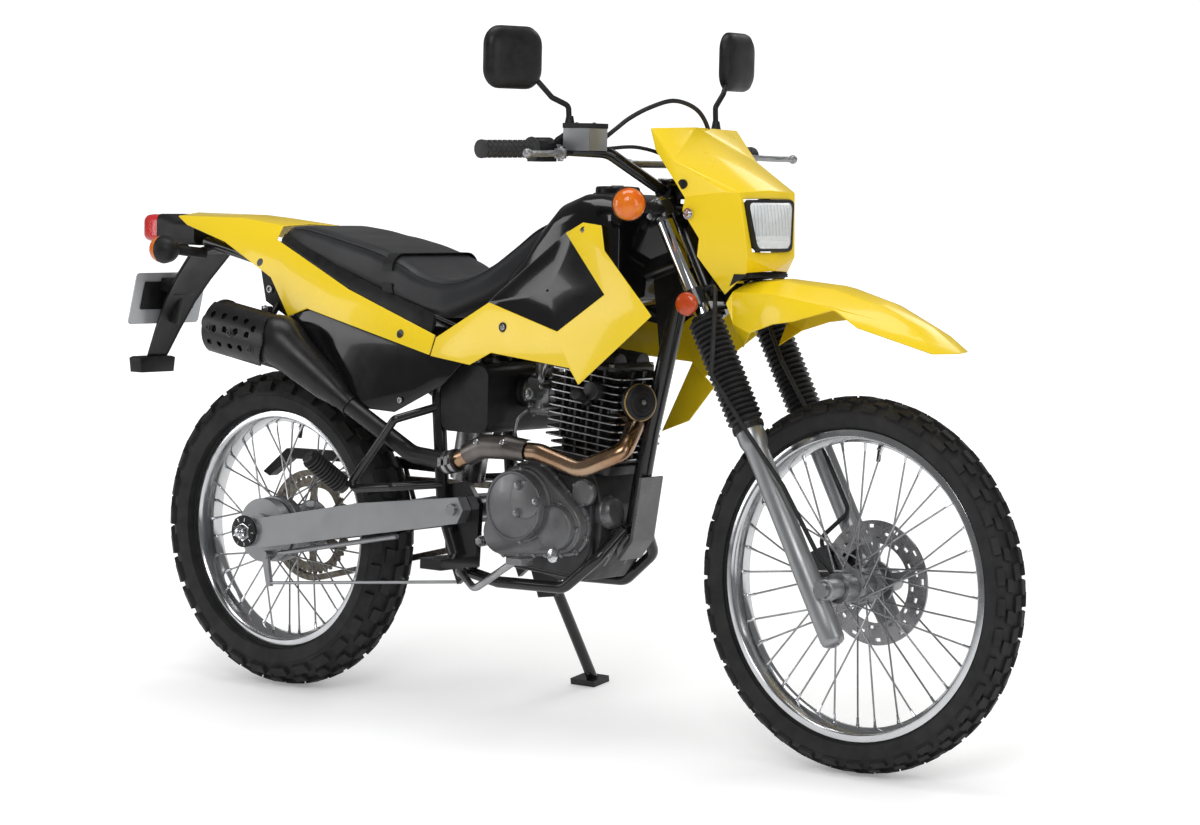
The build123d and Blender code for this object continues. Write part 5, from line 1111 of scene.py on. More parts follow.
def number_plate():
    tilt = Matrix.Rotation(PLATE_TILT, 3, "Y")
    rise, out = tilt @ UP, tilt @ FORWARD
    outline = round_rect(PLATE_HALF_Y, PLATE_HALF_Z, 8, 4)

    def point(y, z, d):
        return PLATE_FOOT + SIDE * y + rise * z + out * d

    def rim(share_y, share_z, d):
        return [point(y * share_y, PLATE_HALF_Z + z * share_z, d) for y, z in outline]

    b = Build()
    b.rings([rim(1, 1, -1), rim(1, 1, 1)])
    b.slot = 1
    for y in (-70, 70):
        b.bolt(point(y, 90, -1), -out, 7, 4, "dome")
    b.slot = 0
    edges = (0.985, 0.97, -1.0), (0.985, 0.97, -1.7), (0.965, 0.935, -1.7), (0.965, 0.935, -1.0)
    b.rings([rim(*row) for row in edges], closed_ends=False, loop=True)
    b.done("number_plate_blank", ROOT, ["plate", "steel"], ("number_plate",), sharp=40, weld=False)
    b = Build()
    b.prism([(-30, 74), (30, 74), (30, 100), (-30, 100)], point(0, 0, 1.2), SIDE, rise, out * 46)
    b.box(point(0, 62, 3), (5, 150, 60), (out, SIDE, rise))
    b.box(point(0, 40, 22), (40, 12, 60), (out, SIDE, rise))
    b.done("plate_bracket", ROOT, "plastic", bevel=2)


def signal_lamp(b, at, r, out, length=1.0):
    """Bullet signal: a black shell with its lens at one end."""
    shell = [(-1.02, 0.4 / r), (-1, 0.35), (-0.85, 0.62), (-0.5, 0.86), (-0.1, 0.97), (0.1, 1)]
    lens = [(0.2, 0), (0.2, 0.95), (0.45, 0.93), (0.75, 0.82), (0.98, 0.58), (1.08, 0.3), (1.1, 0.3 / r)]
    b.slot = 0
    b.lathe([(d * r * length, q * r) for d, q in shell] + [(r * 0.2, r * 0.98), (r * 0.2, 0)], at, out, 32)
    b.slot = 1
    b.lathe([(d * r, q * r) for d, q in lens], at, out, 32)


def signals():
    b = Build()
    for side in SIDES:
        at = Vector((1024, side * 208, 999))
        signal_lamp(b, at - SIDE * side * 4, 31, Vector((0.72, side * 0.7, -0.02)), 0.35)
        b.slot = 0
        foot = steer(752, LEG_OFFSET + 15, side * LEG_Y)
        run = (foot - at).normalized()
        b.rod(at + run * 18, at + run * 38, 13, 10)
        b.rod(at + run * 36, foot - run * 20, 10, 9)
        for d in range(44, 80, 9):
            b.rod(at + run * d, at + run * (d + 4), 11.2)
        reflector = Vector((1103, side * 133, 823))
        look = Vector((0.25, side, 0)).normalized()
        b.slot = 2
        b.lathe([(-9, 0), (-9, 20), (-4, 21.5), (-4, 0)], reflector, look, 32)
        b.slot = 3
        b.lathe([(-4, 0), (-4, 21.5), (-1, 21), (2, 18.5), (4.4, 12), (5, 0)], reflector, look, 36)
        b.slot = 0
        b.rod(reflector - SIDE * side * 8, steer(572, LEG_OFFSET, side * (LEG_Y + 12)), 6)
    finish = ["plastic", "amber", "plastic", "reflector"]
    b.done("front_signal_lamps", STEER, finish, ("front_signals",), sharp=40, weld=False)
    b = Build()
    for side in SIDES:
        at = Vector((-226, side * 140, 876))
        signal_lamp(b, at, 29, -FORWARD)
        b.slot = 0
        b.rod(at - SIDE * side * 22, Vector((-200, side * 52, 868)), 10, 11)
        for d in range(30, 62, 8):
            b.rod(at - SIDE * side * d, at - SIDE * side * (d + 4), 11.4)
    b.done("rear_signal_lamps", ROOT, ["plastic", "amber"], ("rear_signals",), sharp=40, weld=False)


# ---------- Handlebar end ----------
BAR_END = Vector((844, 400, 1091))
BAR_TURN = Vector((866, 245, 1094))
BAR_RUN = (BAR_END - BAR_TURN).normalized()
GRIP_FOOT = BAR_END - BAR_RUN * 122
RESERVOIR = (929, -214)  # x and y of the brake fluid box on the bar
CLAMP_X, CLAMP_Y = 987, 45
CROSSBAR = (953.3, 1069.8)  # its x and z


def grips():
    b = Build()
    outline = [(0, 11.2), (0, 21), (2, 22), (4.5, 21.5), (6, 17), (8, 15), (118, 15), (120, 17), (124, 16.5), (125, 14)]
    b.lathe(outline + [(125, 0), (122, 0), (122, 11.2)], GRIP_FOOT, BAR_RUN, 32)
    u, v = basis(BAR_RUN)
    for i, a in enumerate(angles(12)):
        out = u * math.cos(a) + v * math.sin(a)
        for k in range(1 - i % 2, 18, 2):
            b.box(GRIP_FOOT + BAR_RUN * (12 + k * 6) + out * 15.2, (5.0, 6.4, 1.8), (BAR_RUN, BAR_RUN.cross(out), out))
    b.mirrored()
    b.done("grips_blocked", STEER, "grip", ("grips",), weld=False)


def hand_controls():
    """Drawn on the left and mirrored, then the right side's reservoir."""
    b = Build()
    square = (FORWARD, BAR_RUN, UP)
    perch = GRIP_FOOT - BAR_RUN * 62
    b.rod(GRIP_FOOT - BAR_RUN * 40, GRIP_FOOT - BAR_RUN * 2, 20.5, n=28)
    b.box(GRIP_FOOT - BAR_RUN * 21 + Vector((2, 0, -10)), (36, 34, 26), square)
    b.rod(perch - BAR_RUN * 10, perch + BAR_RUN * 10, 17, n=24)
    b.rod(perch - BAR_RUN * 8 + Vector((10, 0, -14)), perch - BAR_RUN * 8 + Vector((10, 0, 16)), 4)
    pivot = Vector((912, 262, 1086))
    arm = [perch + Vector((8, 0, 0)), perch + Vector((26, 2, -2)), pivot - Vector((6, 6, 0))]
    b.tube(curve_through(arm, 5), [max(13 - i / 2, 9) for i in range(11)], 14)
    b.slot = 1
    b.rod(pivot + UP * 9, pivot - UP * 9, 11, n=24)
    lever = [pivot, (922, 284, 1086), (932, 306, 1086), (943, 345, 1085), (948, 380, 1085), (948, 394, 1085)]
    lever = curve_through(lever, 6)
    b.tube(lever, [8.5 - 3.0 * min(1, i / 12) for i in range(len(lever))], 14)
    b.ball((948, 396, 1085), 8.6)
    b.slot = 2
    b.bolt(pivot + UP * 9, UP, 6, 4)
    b.bolt(pivot - UP * 9, -UP, 6, 5)
    b.slot = 0
    b.rod(perch + UP * 12, Vector((899, 214, 1124)), 9.5, n=20)
    b.box(GRIP_FOOT - BAR_RUN * 22 + Vector((-21, 0, 4)), (8, 10, 8), square)
    b.mirrored()
    for slot, grow, z, rise in ((1, 0, 1092, 40), (0, 1, 1132, 9)):
        x, y = 30 + grow, 26 + grow
        b.slot = slot
        b.prism([(-x, -y), (x, -y), (x, y), (-x, y)], (*RESERVOIR, z), FORWARD, SIDE, UP * rise)
    b.slot = 2
    for dx in (-20, 20):
        b.bolt((RESERVOIR[0] + dx, RESERVOIR[1], 1141), UP, 3.6, 2, "dome")
    finish = ["plastic", "slider", "steel"]
    b.done("hand_controls_cast", STEER, finish, ("hand_controls",), bevel=1.5, sharp=40)


def bar_clamps():
    b = Build()
    for side in SIDES:
        y = side * CLAMP_Y
        b.lathe([(-4, 0), (-4, 14), (-1, 15.5), (0, 15), (0, 0)], (CLAMP_X, y, 1044), UP, 4)
        for dx in (-12, 12):
            for dy in (-7, 7):
                b.bolt((CLAMP_X + dx, y + dy, 1040), UP, 4.2, 5, "cap")
    x, z = CROSSBAR
    b.tube([(x, -128, z), (x, 128, z)], 6.6, 16)
    for side in SIDES:
        b.rod((x, side * 112, z), (x, side * 126, z), 8.5)
    b.done("bar_clamp_bolts", STEER, "steel", bevel=0.5)


# Radius, then the line from the bar's control to behind the cowl
BAR_CABLES = (
    (4.2, [
        (906, -158, 1104), (930, -156, 1118), (945, -144, 1134), (960, -125, 1153), (985, -98, 1173), (1000, -49, 1186),
        (1010, 1, 1174), (1012, 34, 1146), (1008, 52, 1108), (1000, 60, 1060), (1012, 56, 1000),
    ]),
    (3.4, [(900, -190, 1092), (930, -160, 1096), (968, -110, 1100), (1000, -60, 1080), (1012, -44, 1030),
        (1008, -40, 975)]),
    (3.4, [(900, 190, 1092), (930, 160, 1098), (968, 112, 1104), (1000, 66, 1084), (1014, 48, 1030), (1008, 42, 975)]),
)


def cables():
    """Hose and cables held at both ends between the bar's controls and the cowl."""
    b = Build()
    for r, line in BAR_CABLES:
        line = [Vector(p) for p in line]
        b.tube(curve_through(line, 8), r, 12)
        for tip, near in ((line[0], line[1]), (line[-1], line[-2])):
            b.rod(tip, tip.lerp(near, 0.45), r * 1.7)
    b.done("bar_cables", STEER, "rubber", sharp=50)


def adjusters():
    """Snail cams with their marks on both ends of the rear axle."""
    b = Build()
    for side in SIDES:
        out = SIDE * side
        at = REAR_AXLE + out * 128
        cam = [(34 * (1 - 0.12 * a / 6.28), a) for a in angles(40)]
        b.slot = 0
        b.prism([(r * math.cos(a), r * math.sin(a)) for r, a in cam], at, FORWARD, UP, out * 5)
        b.slot = 1
        for a in angles(9):
            mark, across = Vector((math.cos(a), 0, math.sin(a))), Vector((-math.sin(a), 0, math.cos(a)))
            b.box(at + mark * 25 + out * 5, (7, 1.6, 2.2), (mark, SIDE, across))
        b.bolt(at + out * 5, out, 15, 11)
        b.lathe([(11, 0), (11, 8), (18, 8), (19.5, 6), (19.5, 0)], at + out * 4, out, 24)
    b.done("chain_adjusters", ROOT, ["rubber", "bright"], sharp=35, bevel=0.4)


def peg_rubbers():
    outline = [(8, 14.3)]
    for i in range(11):
        d = 12 + 7.6 * i
        outline += [(d, 19.5), (d + 4.4, 19.5), (d + 5.4, 16), (d + 6.6, 16)]
    outline += [(96, 18), (98, 10), (98, 0), (8, 0)]
    b = Build()
    for side in SIDES:
        root, tip = Vector((326, side * 184, 436)), Vector((296, side * 258, 500))
        b.lathe(outline, root, tip - root, 32)
    b.done("rear_peg_rubbers", ROOT, "rubber", sharp=40, weld=False)


# Label, side, the stem's points and the glass's middle
MIRRORS = (
    ("left", 1, [(898, 214, 1128), (897, 212, 1180), (900, 232, 1206), (888, 262, 1236)], (884, 300, 1268)),
    ("right", -1, [(892, -214, 1128), (887, -212, 1172), (868, -236, 1186), (856, -262, 1214)], (848, -318, 1255)),
)
# Scale of the mirror's outline and how far behind the glass's middle it lies
MIRROR_SHELL = (
    (0.3, 12), (0.62, 11), (0.84, 8), (0.95, 3), (1, -4), (1, -10), (0.985, -12), (0.945, -12), (0.935, -9.5),
    (0.3, -9.5),
)
MIRROR_GLASS = ((0.93, -9.4), (0.93, -10.8), (0.915, -11.2), (0.3, -11.2))


def mirrors():
    for label, side, stem, centre in MIRRORS:
        b = Build()
        foot, centre = Vector(stem[0]), Vector(centre)
        turn = Matrix.Rotation(math.radians(11 * side), 3, "Z")
        out, across = turn @ FORWARD, turn @ SIDE
        b.tube(rounded(stem + [centre - UP * 12], 11, 5), 5.2, 14)
        b.rod(foot - UP * 6, foot + UP * 12, 10, n=6)
        b.rod(foot + UP * 10, foot + UP * 26, 9.5, 6.5, n=20)
        for slot, rows in enumerate((MIRROR_SHELL, MIRROR_GLASS)):
            b.slot = slot
            b.rings([
                [centre + across * y * scale + UP * z * scale + out * depth for y, z in round_rect(63, 56, 34, 7)]
                for scale, depth in rows
            ])
        replaced = ("mirrors",) if side > 0 else ()
        b.done(f"mirror_{label}", STEER, ["plastic", "mirror"], replaced, sharp=35, weld=False)


def meter():
    """Meter pod with a plain glass, leaning back to the rider."""
    b = Build()
    at, axis = Vector((1068, 0, 1022)), Vector((-0.5, 0, 0.866))
    b.lathe([(0, 0), (0, 30), (4, 36), (30, 41), (44, 42), (48, 41), (48, 37), (45, 36), (45, 0)], at, axis, 48)
    b.slot = 1
    b.lathe([(44.4, 0), (44.4, 36), (46.2, 36), (46.6, 20), (46.8, 0)], at, axis, 48)
    b.slot = 0
    b.box(at + axis * 22 + Vector((-30, 0, -16)), (40, 96, 18), (SIDE.cross(axis), SIDE, axis))
    b.rod(at - axis * 2, steer(760, 30), 9)
    b.done("meter_pod", STEER, ["plastic", "glass"], ("meter",), sharp=40, bevel=0.8)


def horn():
    """Ribbed disc in front of the engine with a brass rim and its bracket."""
    b = Build()
    at, axis = Vector((938, -62, 634)), Vector((0.95, -0.3, 0.05)).normalized()
    b.lathe([(0, 0), (0, 30), (3, 34), (8, 35), (16, 34), (20, 30), (23, 24), (25, 12), (26, 0)], at, axis, 48)
    b.slot = 1
    b.lathe([(14, 30), (14, 35.2), (16, 35.2), (17, 33.6), (15, 30)], at, axis, 48)
    b.slot = 0
    for r in (12, 20, 27):
        low, high = 20 + (30 - r) * 0.28, 22.4 + (30 - r) * 0.2
        b.lathe([(low, r - 1.2), (high, r - 0.6), (high, r + 0.6), (low, r + 1.2)], at, axis, 40)
    b.slot = 2
    b.bolt(at + axis * 26, axis, 4, 3)
    b.slot = 0
    b.box((940, -34, 640), (14, 62, 5), (UP, SIDE, FORWARD))
    b.done("horn_disc", ROOT, ["plastic", "brass", "steel"], ("horn",), sharp=40)


# ---------- Engine ----------
def slab(b, outline, y0, y1):
    """Closed side-view outline in (x, z) between two y planes."""
    b.prism(outline, (0, y0, 0), FORWARD, UP, SIDE * (y1 - y0))


def bolt_ring(b, at, axis, u, v, count, radius, start, size, height):
    for a in angles(count, math.radians(start)):
        b.bolt(Vector(at) + u * radius * math.cos(a) + v * radius * math.sin(a), axis, size, height)


def hull(points):
    """Convex outline around flat points."""
    points = sorted(set(points))

    def turns(a, b, c):
        return (b[0] - a[0]) * (c[1] - a[1]) - (b[1] - a[1]) * (c[0] - a[0]) > 0

    def half(rows):
        line = []
        for p in rows:
            while len(line) > 1 and not turns(line[-2], line[-1], p):
                line.pop()
            line.append(p)
        return line[:-1]

    return half(points) + half(points[::-1])


COVER_COLUMNS = 72
FLANGE_BOLT = (4.6, 4.4)


def cover(b, circles, y_face, y_top, lip=5.0, bolt_every=34):
    """Cast cover: flange, rounded wall and flat face round some circles, with screws on its flange."""
    depth = y_top - y_face

    def row(shrink, share):
        """Evenly spaced points round the shrunk circles, at a share of the depth."""
        line = []
        for x, z, r in circles:
            for a in angles(44):
                line.append((round(x + (r - shrink) * math.cos(a), 4), round(z + (r - shrink) * math.sin(a), 4)))
        line = hull(line)
        runs = [math.dist(a, c) for a, c in zip(line, line[1:] + line[:1])]
        starts = [sum(runs[:i]) for i in range(len(runs))]
        ring = []
        for k in range(COVER_COLUMNS):
            want = sum(runs) * k / COVER_COLUMNS
            i = max(j for j, start in enumerate(starts) if start <= want + 1e-9)
            a, c = line[i], line[(i + 1) % len(line)]
            t = (want - starts[i]) / max(runs[i], 1e-9)
            ring.append(Vector((a[0] + (c[0] - a[0]) * t, y_face + depth * share, a[1] + (c[1] - a[1]) * t)))
        return ring

    wall = ((0, 0), (0, 0.22), (1.5, 0.25), (lip, 0.27), (lip + 1, 0.8), (lip + 3, 0.93), (lip + 7, 1))
    before = b.slot
    b.rings([row(shrink, share) for shrink, share in wall])
    flange = row(lip * 0.5, 0.25)
    length = sum((p - q).length for p, q in zip(flange, flange[1:] + flange[:1]))
    count = max(4, int(length / bolt_every))
    b.slot = 1
    for k in range(count):
        b.bolt(flange[int(k * COVER_COLUMNS / count)], SIDE * math.copysign(1, depth), *FLANGE_BOLT)
    b.slot = before


# Side-view outlines of the crankcase in (x, z) and the y planes of each
CRANKCASE = (
    ([(594, 464), (604, 366), (652, 302), (824, 292), (862, 342), (866, 436), (846, 494), (702, 506), (640, 492)], -66,
        62),
    ([(600, 458), (612, 372), (656, 312), (820, 300), (852, 346), (856, 432), (838, 486), (704, 498)], -84, -66),
    ([(672, 470), (668, 352), (690, 318), (820, 300), (852, 346), (856, 432), (838, 486), (760, 496)], 62, 86),
    ([(716, 500), (840, 492), (852, 512), (748, 520)], -60, 60),
)


def engine():
    b = Build()
    for outline, y0, y1 in CRANKCASE:
        slab(b, outline, y0, y1)
    b.rod((620, -40, 480), (640, 30, 486), 12)
    b.done("engine_crankcase", ROOT, ["dark_case", "steel"], ("engine_cases",), bevel=5, sharp=40, segments=3)


def engine_right():
    """Clutch cover with its round caps, oil window and filler."""
    b = Build()
    cover(b, [(716, 430, 82), (802, 395, 56), (654, 372, 46)], -84, -112)
    cover(b, [(716, 430, 70)], -112, -144, lip=4, bolt_every=1000)
    b.lathe([(0, 0), (0, 36), (2, 35), (3.5, 31), (4, 0)], (746, -144, 444), -SIDE, 48)
    b.lathe([(0, 60), (0, 66), (1.6, 64), (1.6, 61)], (716, -144, 430), -SIDE, 64)
    for a in angles(3, math.radians(90) + 0.5):
        p = Vector((746 + 30 * math.cos(a), -147, 444 + 30 * math.sin(a)))
        b.slot = 0
        b.lathe([(0, 0), (0, 9), (5, 8), (5, 0)], p, -SIDE, 20)
        b.slot = 1
        b.bolt(p - SIDE * 5, -SIDE, 5.4, 3.5)
    b.slot = 0
    cover(b, [(802, 395, 46)], -108, -132, lip=3, bolt_every=1000)
    b.slot = 2
    b.lathe([(0, 0), (0, 13), (3, 13), (4, 11), (4, 0)], (806, -131, 344), -SIDE, 28)
    b.slot = 3
    b.lathe([(3.9, 0), (3.9, 9.5), (4.4, 9.5), (4.8, 0)], (806, -131, 344), -SIDE, 24)
    b.slot = 0
    b.lathe([(0, 0), (0, 26), (8, 26), (12, 22), (13, 10), (13, 0)], (842, -84, 462), -SIDE, 32)
    b.slot = 1
    bolt_ring(b, (842, -92, 462), -SIDE, FORWARD, UP, 3, 22, 30, 4.5, 4)
    b.done("engine_cover_right", ROOT, ["case", "steel", "bright", "glass"], sharp=34)


def engine_left():
    """Magneto cover with its plugs and the sprocket's cap."""
    b = Build()
    cover(b, [(790, 410, 66), (742, 418, 50)], 84, 124, bolt_every=38)
    b.slot = 1
    b.lathe([(0, 0), (0, 16), (2, 16), (3, 14), (3, 0)], (790, 123, 410), SIDE, 6)
    b.lathe([(0, 0), (0, 10), (2, 10), (3, 8), (3, 0)], (770, 123, 452), SIDE, 24)
    b.slot = 0
    b.lathe([(0, 0), (0, 44), (4, 44), (8, 38), (8, 0)], (640, 60, 406), SIDE, 40)
    b.done("engine_cover_left", ROOT, ["case", "steel"], sharp=34)


def engine_mounts():
    """Oil filter cover in front, the mounts' plates and the swingarm's bolt behind."""
    b = Build()
    at, axis = Vector((846, -40, 420)), Vector((1, 0, 0.16)).normalized()
    b.lathe([(0, 0), (0, 31), (20, 31), (22, 29), (32, 27), (36, 22), (38, 0)], at, axis, 40)
    b.slot = 1
    bolt_ring(b, at + axis * 22, axis, SIDE, axis.cross(SIDE), 3, 27, 90, 4.5, 4)
    b.slot = 0
    b.rod((850, 0, 345), (884, 0, 384), 15)
    for side in SIDES:
        y = side * 30
        b.slot = 0
        slab(b, [(846, 320), (884, 372), (896, 392), (884, 404), (852, 380)], y - 3, y + 3)
        b.slot = 1
        b.bolt((889, y + side * 3, 392), SIDE * side, 8, 6)
        b.bolt((856, y + side * 3, 344), SIDE * side, 7, 6)
    b.rod((597, -90, 350), (597, 90, 350), 10)
    for side in SIDES:
        b.bolt((597, side * 96, 350), SIDE * side, 9, 7)
    b.done("engine_front_and_mounts", ROOT, ["case", "steel"], sharp=36, bevel=0.8)


CYLINDER_BASE, CYLINDER_TILT = Vector((806, 0, 505)), Matrix.Rotation(math.radians(6), 3, "Y")
FIN_PITCH, FIN_COUNT = 14, 12


def on_cylinder(x, y, z):
    return CYLINDER_BASE + CYLINDER_TILT @ Vector((x, y, z))


def stack(*rows):
    """Rounded rectangles across the cylinder, as (z, half x, half y, corner)."""
    return [[on_cylinder(x, y, z) for x, y in round_rect(hx, hy, corner, 5)] for z, hx, hy, corner in rows]


def cylinder():
    axes = (CYLINDER_TILT @ FORWARD, SIDE, CYLINDER_TILT @ UP)
    b = Build()
    b.rings(stack((-4, 58, 52, 12), (200, 58, 52, 12)))
    for i in range(FIN_COUNT):
        z = 22 + FIN_PITCH * i
        narrow = 0.9 if i < 2 else 1.0
        hx, hy = 85 * narrow, 75 * narrow
        b.slot = 0
        b.rings(stack((z, hx, hy, 15), (z + 1.6, hx, hy, 15), (z + 3.0, hx - 0.5, hy - 0.5, 15)))
        b.slot = 1
        rim = ((0.3, -0.6), (0.6, 0.35), (2.6, 0.35), (3.0, -0.6))
        b.rings(stack(*[(z + d, hx + o, hy + o, 15) for d, o in rim]), closed_ends=False, loop=True)
        b.slot = 0
        for x in (-46, -15, 15, 46):
            for side in SIDES:
                b.box(on_cylinder(x * narrow, side * hy * 0.86, z + 9), (5, hy * 0.2, 10.4), axes)
        for y in (-34, 0, 34):
            b.box(on_cylinder(hx * 0.86, y, z + 9), (hx * 0.2, 5, 10.4), axes)
    b.done("cylinder_fins", ROOT, ["fin", "edge"], ("engine_cylinder",), sharp=36, weld=False)


def cylinder_head():
    """Base and head flanges, cam boxes, bolts and the plug's cap."""
    rise = CYLINDER_TILT @ UP
    b = Build()
    b.rings(stack((-6, 66, 60, 14), (10, 66, 60, 14), (13, 62, 56, 12)))
    b.rings(stack((188, 64, 66, 22), (196, 64, 66, 22), (202, 56, 58, 20)))
    for y in (-34, 34):
        b.rod(on_cylinder(-50, y, 200), on_cylinder(50, y, 200), 20, n=24)
    b.rod(on_cylinder(30, -60, 150), on_cylinder(30, -88, 150), 20, 17)
    b.lathe([(0, 0), (0, 26), (6, 26), (8, 22), (8, 0)], on_cylinder(20, 75, 130), SIDE, 32)
    b.slot = 1
    for x, y in ((-50, -58), (50, -58), (-50, 58), (50, 58), (0, -60), (0, 60)):
        b.bolt(on_cylinder(x, y, 196), rise, 6, 6)
    for x, y in ((-58, -50), (58, -50), (-58, 50), (58, 50)):
        b.bolt(on_cylinder(x, y, 12), rise, 6, 6)
    for a in angles(3, math.radians(90)):
        b.bolt(on_cylinder(20 + 19 * math.cos(a), 83, 130 + 19 * math.sin(a)), SIDE, 4.5, 4)
    plug = [(0, 0), (0, 10), (12, 10), (14, 8), (30, 8), (32, 11), (52, 11), (56, 7), (58, 0)]
    b.slot = 2
    b.lathe(plug, on_cylinder(18, -78, 128), Vector((0.2, -1, 0.35)), 20)
    b.done("cylinder_head_and_plug", ROOT, ["dark_case", "steel", "rubber"], sharp=36, bevel=1.2)


def carburettor():
    b = Build()
    b.rod((640, 0, 634), (716, 0, 634), 29, n=32)
    b.box((678, 0, 634), (50, 62, 56))
    b.rings([section(x, 592, 626, 30, 12, n=5) for x in (656, 702)])
    b.rod((678, 0, 650), (678, 0, 690), 27, 25, n=32)
    b.rod((678, 0, 690), (678, 0, 700), 22, 12, n=28)
    b.rod((678, -30, 634), (678, -60, 634), 13, 11, n=20)
    b.slot = 1
    for x, y in ((660, -24), (698, -24), (660, 24), (698, 24)):
        b.bolt((x, y, 592), -UP, 4, 4, "dome")
        b.bolt((x, y, 682), UP, 4, 4, "dome")
    b.rod((678, -60, 634), (678, -66, 634), 8, n=6)
    for z, r in ((664, 9), (610, 7), (648, 5)):
        b.rod((700, -28, z), (700, -50, z), r, r * 0.9)
        b.bolt((700, -50, z), -SIDE, r * 0.6, 4)
    b.tube(curve_through([(652, -30, 600), (640, -44, 585), (640, -52, 560), (650, -56, 540)], 6), 3.5, 10)
    b.tube(curve_through([(700, -46, 664), (716, -56, 690), (730, -50, 720), (740, -36, 742)], 6), 3.8, 10)
    b.rod((664, -34, 612), (664, -44, 612), 6, n=6)
    b.slot = 2
    b.lathe([(0, 0), (0, 26), (10, 28), (20, 24), (40, 26), (50, 28), (58, 26), (58, 0)], (708, 0, 634), FORWARD, 32)
    b.lathe([(0, 0), (0, 30), (12, 30), (16, 32), (22, 30), (28, 32), (36, 29), (40, 0)], (608, 0, 634), FORWARD, 32)
    b.slot = 1
    for x, r in ((712, 28.6), (756, 28.8), (640, 30.6)):
        b.lathe([(-4, r - 2), (-4, r), (4, r), (4, r - 2)], (x, 0, 634), FORWARD, 32)
        b.box((x, 0, 634 + r), (8, 14, 7))
    b.done("carburettor_cast", ROOT, ["slider", "steel", "rubber"], ("carburettor",), sharp=36, bevel=0.8)


# ---------- Exhaust ----------
HEADER = [
    (866, -22, 606), (925, -40, 596), (940, -96, 545), (868, -132, 508), (774, -138, 534), (640, -140, 534),
    (560, -138, 500), (462, -142, 508), (303, -150, 592),
]
HEADER_BENDS = [26, 26, 40, 60, 60, 60, 60]
BRONZE_END = 566  # x behind which the header is dark
HEAT_SHIELD = [(748, -138, 534), (700, -139, 538), (640, -140, 536), (600, -139, 518)]


def exhaust():
    path = rounded(HEADER, HEADER_BENDS, 8)
    bronze = [p for p in path if p.x > BRONZE_END]
    dark = path[len(bronze) - 1:]
    b = Build()
    b.tube(bronze, 16.8, 24)
    b.slot = 2
    b.tube(dark, 17.2, 20)
    b.slot = 1
    start, run = path[0], (Vector(HEADER[1]) - path[0]).normalized()
    b.lathe([(2, 0), (2, 30), (9, 30), (10, 27), (14, 20), (14, 0)], start + run * 4, run, 32)
    for side in SIDES:
        b.bolt(start + run * 13 + UP * side * 25, run, 6, 8)
    joint, run = dark[0], (dark[1] - dark[0]).normalized()
    b.slot = 2
    b.lathe([(-8, 17), (-8, 21), (26, 21), (26, 17)], joint, run, 32)
    b.slot = 1
    for d in (0, 16):
        b.lathe([(d - 4, 20.8), (d - 4, 22.6), (d + 4, 22.6), (d + 4, 20.8)], joint, run, 32)
        b.box(joint + run * d - SIDE * 25, (9, 9, 12), (run, SIDE, UP))
        b.bolt(joint + run * d - SIDE * 27 + UP * 5, UP, 4.2, 5)
    finish = ["header", "steel", "muffler"]
    b.done("header_pipe", ROOT, finish, ("exhaust_header",), sharp=40, weld=False)


def heat_shield():
    """Half shell over the header that draws in at its ends."""
    path = rounded(HEAT_SHIELD, [60, 50], 6)
    last = len(path) - 1
    section = [(23.0, math.radians(a)) for a in range(-100, 101, 20)]
    section += [(21.4, math.radians(a)) for a in range(100, -101, -20)]
    rings = []
    for i, p in enumerate(path):
        run = (path[min(i + 1, last)] - path[max(i - 1, 0)]).normalized()
        rise = run.cross(SIDE).normalized()
        rise = -rise if rise.z < 0 else rise
        grow = 1.0 - 0.28 * abs(2 * i / last - 1) ** 3
        rings.append([p + (rise * math.sin(a) - SIDE * math.cos(a)) * (18 + (r - 18) * grow) for r, a in section])
    b = Build()
    b.rings(rings)
    b.slot = 1
    for i in (3, last - 3):
        b.bolt(path[i] - SIDE * 20 + UP * 10, Vector((0, -0.8, 0.6)), 5.5, 4.5, "cap")
    b.done("header_heat_shield", ROOT, ["shield", "bright"], sharp=40, weld=False)


MUFFLER_MID, MUFFLER_NECK = Vector((150, -184, 706)), Vector((303, -150, 592))
MUFFLER_RUN = (MUFFLER_MID - Vector((-52, -187, 739))).normalized()
MUFFLER_END = Vector((-52, -187, 739)) + MUFFLER_RUN * 34


def muffler():
    end, run = MUFFLER_END, MUFFLER_RUN
    can = [
        (-36, 13), (-36, 16.5), (-4, 17), (-1, 19), (1, 30), (-2, 33), (-4, 40), (0, 50), (5, 53), (12, 53), (13, 51),
    ]
    can += [(158, 51.5), (168, 51), (174, 44), (174, 0), (20, 0), (20, 13)]
    b = Build()
    b.lathe(can, end, run, 56)
    cone = MUFFLER_NECK - MUFFLER_MID
    back = [(-40, 0), (-40, 40), (-24, 49), (-6, 51.5), (12, 49), (40, 42)]
    front = [(60, 31), (34, 24), (28, 24), (20, 20.5), (0, 19.5), (0, 0)]
    b.lathe(back + [(cone.length - d, r) for d, r in front], MUFFLER_MID, cone, 48)
    b.slot = 1
    for p in circle(end - run * 2, *basis(run), 44, 8)[1::2]:
        b.bolt(p, -run, 3.6, 3, "dome")
    b.slot = 0
    b.rod((70, -134, 752), (60, -66, 822), 7)
    b.prism([(-16, -10), (16, -10), (12, 30), (-12, 30)], (70, -148, 744), FORWARD, UP, SIDE * 6)
    b.slot = 1
    b.bolt((70, -149, 768), -SIDE, 7, 5)
    b.done("muffler_can", ROOT, ["muffler", "steel"], ("muffler",), sharp=34, weld=False)


